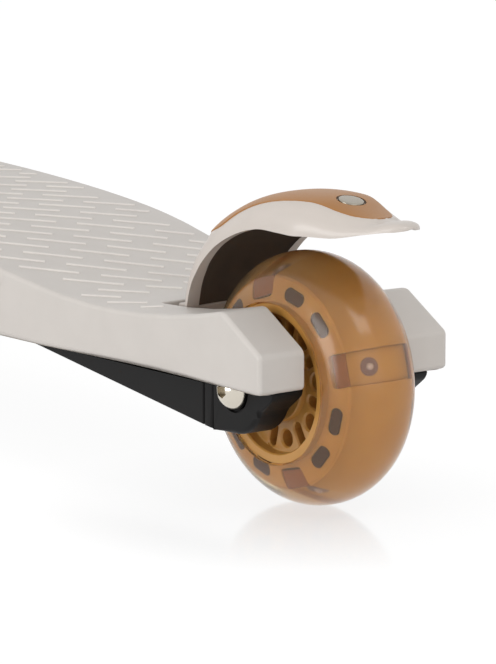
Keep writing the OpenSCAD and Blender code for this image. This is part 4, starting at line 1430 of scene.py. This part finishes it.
@dataclass
class Stem:
    """The folding bracket, the telescopic tubes with their clamp, and the handlebar."""

    grip_radius: float = 15.0
    grip_bore: float = 11.0
    grip_ribs: int = 15
    rib_deep: float = 0.9
    waist: float = 1.1

    def build(self) -> None:
        """Builds the stem's pieces."""
        rounded("fold_bracket", "fold_bracket_cast", 0.8, BRACKET, 2)
        rounded("bracket_bolts", "bracket_bolts_zinc", 0.4, ZINC, 2)
        for node in ("fold_bolt", "collar_bolt"):
            rounded(node, f"{node}_zinc", 0.3, ZINC, 2)
        for node in ("fold_lever", "collar_lever", "stem_foot", "collar"):
            rounded(node, f"{node}_moulding", 1.2, DARK)
        rounded("handle_joint", "handle_joint_moulding", 1.0, DARK)
        rounded("handle_screw", "handle_screw_zinc", 0.3, ZINC, 2)
        for node in ("lower_tube", "upper_tube", "crossbar"):
            rounded(node, f"{node}_anodised", 0.4, TUBE, 2)
        dress_node("tube_bush", ACETAL)
        for side in Side:
            self.grip(side)

    def grip(self, side: Side) -> None:
        """Spins a rubber grip with ribs, a flange and a rounded end.

        Args:
            side: the side that it is on.
        """
        node = f"{side.value}_grip"
        near, far = (end / MM for end in side.reach(node))
        radius, bore = self.grip_radius, self.grip_bore
        outline = [(bore, near), (radius + 3.4, near), (radius + 4, near + 0.8), (radius + 4, near + 3),
                   (radius + 3.2, near + 4.2), (radius + 0.6, near + 6)]
        start, stop = near + 12, far - 14
        pitch = (stop - start) / self.grip_ribs
        for i in range(self.grip_ribs):
            a = start + (stop - start) * i / self.grip_ribs
            top = radius - self.waist * math.sin(math.pi * (i + 0.5) / self.grip_ribs)
            outline += [(top - self.rib_deep, a), (top - self.rib_deep, a + pitch * 0.25),
                        (top, a + pitch * 0.4), (top, a + pitch * 0.85)]
        outline += [(radius, far - 13), (radius, far - 5), (radius - 0.8, far - 2), (radius - 3, far),
                    (0, far), (0, far - 3.9), (bore, far - 3.9)]
        centre = middle(node)
        piece = lathe(f"{node}_rubber", outline, Vector((centre.x, 0, centre.z)), side.out, steps=72)
        dress(piece, GRIP, node, [node], smooth=50)


@dataclass
class RearAxle:
    """The rear axle's bolt and nut, with its spacers and the ring magnet of the lights."""

    head: float = 7.9
    height: float = 6.2
    shank: float = 3.98
    seat: float = 38.0
    bolt_length: float = 70.0
    nut_length: float = 6.0

    def build(self) -> None:
        """Builds the axle's pieces."""
        key_way = Vector((1, 0, 0.4)).normalized()
        for node, sign, length in (("rear_axle_bolt", 1, self.bolt_length),
                                   ("rear_axle_nut", -1, self.nut_length)):
            out = ACROSS * sign
            screw = Screw(self.head, self.height, self.shank, length)
            place = Vector((AXLE.x, 0, AXLE.z)) + out * self.seat * MM
            screw.set_in(f"{node}_plated", [basis(place, out, key_way)], NICKEL, node)
        dress_node("rear_axle_spacers", ZINC)
        dress_node("rear_magnet", MAGNET)


@dataclass
class Studio:
    """Camera at the photograph's place, a white floor and plain soft light.

    Back, aside and height place the camera, in millimetres from the rear axle and over the floor. In metres,
    floor is its side, and reflection is how far from the wheel the mirror image has faded.
    """

    lens: float = 173.49
    sensor: float = 36.0
    back: float = 960.4
    aside: float = 754.5
    height: float = 294.3
    forward: tuple[float, float, float] = (0.7854, -0.5916, -0.1822)
    floor: float = 80.0
    ambient: float = 0.58
    glow: float = 1.1
    glow_share: float = 0.85
    shine: float = 0.3
    reflection: float = 0.115

    def build(self) -> None:
        """Builds the studio."""
        self.camera()
        self.lamp("key", Vector((-0.56, -0.02, 0.8)), distance=1.5, size=0.6, power=4.0)
        self.lamp("side_fill", Vector((0.1, 1.0, 0.2)), distance=1.8, size=1.0, power=14.5)
        self.lamp("rear_fill", Vector((-1.0, 0.15, 0.12)), distance=1.8, size=1.6, power=6.0)
        self.ground()
        self.sky()
        bpy.context.scene.view_settings.view_transform = "Standard"

    def camera(self) -> None:
        """Sets the camera."""
        data = bpy.data.cameras.new("camera")
        data.lens = self.lens
        data.sensor_width = self.sensor
        camera = bpy.data.objects.new("camera", data)
        bpy.context.scene.collection.objects.link(camera)
        camera.location = at_rear(-self.back, self.aside, self.height)
        camera.rotation_euler = Vector(self.forward).to_track_quat("-Z", "Y").to_euler()
        bpy.context.scene.camera = camera

    def lamp(self, name: str, way: Vector, distance: float, size: float, power: float) -> None:
        """Hangs a square soft lamp that faces the rear wheel.

        Args:
            name: name of the lamp.
            way: direction from the wheel to the lamp.
            distance: its distance, in metres.
            size: its side, in metres.
            power: its power, in watts.
        """
        data = bpy.data.lights.new(name, "AREA")
        data.shape = "SQUARE"
        data.size = size
        data.energy = power
        lamp = bpy.data.objects.new(name, data)
        bpy.context.scene.collection.objects.link(lamp)
        lamp.location = AXLE + way.normalized() * distance
        lamp.rotation_euler = (-way).to_track_quat("-Z", "Y").to_euler()

    def seen(self, tree: bpy.types.NodeTree) -> bpy.types.NodeSocket:
        """One where a surface is seen, also in gloss or through glass, and nought where it lights others.

        Args:
            tree: the node tree that asks.

        Returns:
            The socket with that value.
        """
        path = add_node(tree, "ShaderNodeLightPath")
        some = add_node(tree, "ShaderNodeMath", {"operation": "MAXIMUM"},
                        {0: path.outputs["Is Camera Ray"], 1: path.outputs["Is Glossy Ray"]})
        both = add_node(tree, "ShaderNodeMath", {"operation": "MAXIMUM"},
                        {0: some.outputs[0], 1: path.outputs["Is Transmission Ray"]})
        return both.outputs[0]

    def ground(self) -> None:
        """Lays the floor: white where it is seen, with a faint shadow and a faint reflection."""
        deselect()
        bpy.ops.mesh.primitive_plane_add(size=self.floor, location=(0, 0, -0.0002))
        floor = settle_primitive("studio_floor")
        coat = bpy.data.materials.new("studio_acrylic_white")
        coat.use_nodes = True
        tree = coat.node_tree
        tree.nodes.remove(tree.nodes["Principled BSDF"])
        matt = add_node(tree, "ShaderNodeBsdfDiffuse", {"Color": (0.8, 0.8, 0.8, 1)})
        glow = add_node(tree, "ShaderNodeEmission", {"Color": (1, 1, 1, 1), "Strength": self.glow})
        part = add_node(tree, "ShaderNodeMath", {"operation": "MULTIPLY", 1: self.glow_share},
                        {0: self.seen(tree)})
        body = add_node(tree, "ShaderNodeMixShader", {},
                        {0: part.outputs[0], 1: matt.outputs[0], 2: glow.outputs[0]})
        shine = add_node(tree, "ShaderNodeBsdfGlossy", {"Roughness": 0.12})
        path = add_node(tree, "ShaderNodeLightPath")
        spot = add_node(tree, "ShaderNodeTexCoord")
        away = add_node(tree, "ShaderNodeVectorMath", {"operation": "DISTANCE", 1: (AXLE.x, 0, 0)},
                        {0: spot.outputs["Object"]})
        fade = add_node(tree, "ShaderNodeMapRange",
                        {"From Min": 0.02, "From Max": self.reflection, "To Min": self.shine, "To Max": 0.0},
                        {"Value": away.outputs["Value"]})
        share = add_node(tree, "ShaderNodeMath", {"operation": "MULTIPLY"},
                         {0: path.outputs["Is Camera Ray"], 1: fade.outputs["Result"]})
        top = add_node(tree, "ShaderNodeMixShader", {},
                       {0: share.outputs[0], 1: body.outputs[0], 2: shine.outputs[0]})
        tree.links.new(top.outputs[0], tree.nodes["Material Output"].inputs["Surface"])
        floor.data.materials.append(coat)

    def sky(self) -> None:
        """Lights the world evenly, and shows it white."""
        world = bpy.data.worlds.new("studio")
        world.use_nodes = True
        tree = world.node_tree
        strength = add_node(tree, "ShaderNodeMapRange", {"To Min": self.ambient, "To Max": 1.0},
                            {"Value": self.seen(tree)})
        tree.nodes["Background"].inputs["Color"].default_value = (1, 1, 1, 1)
        tree.links.new(strength.outputs["Result"], tree.nodes["Background"].inputs["Strength"])
        bpy.context.scene.world = world


def main() -> None:
    """Builds the studio and every sub-assembly, in order."""
    logging.basicConfig(level=logging.INFO, format="%(message)s")
    Studio().build()
    Deck().build()
    RearAxle().build()
    Wheel("rear", lip=31.5, half=19.5, core=40.0, tyre_half=20.8).build()
    for side in Side:
        Wheel(f"{side.value}_front", lip=40.0, half=13.0, core=51.0, tyre_half=14.0, slot_l=14.0).build()
    Brake().build()
    FrontEnd().build()
    Stem().build()


if __name__ == "__main__":
    main()
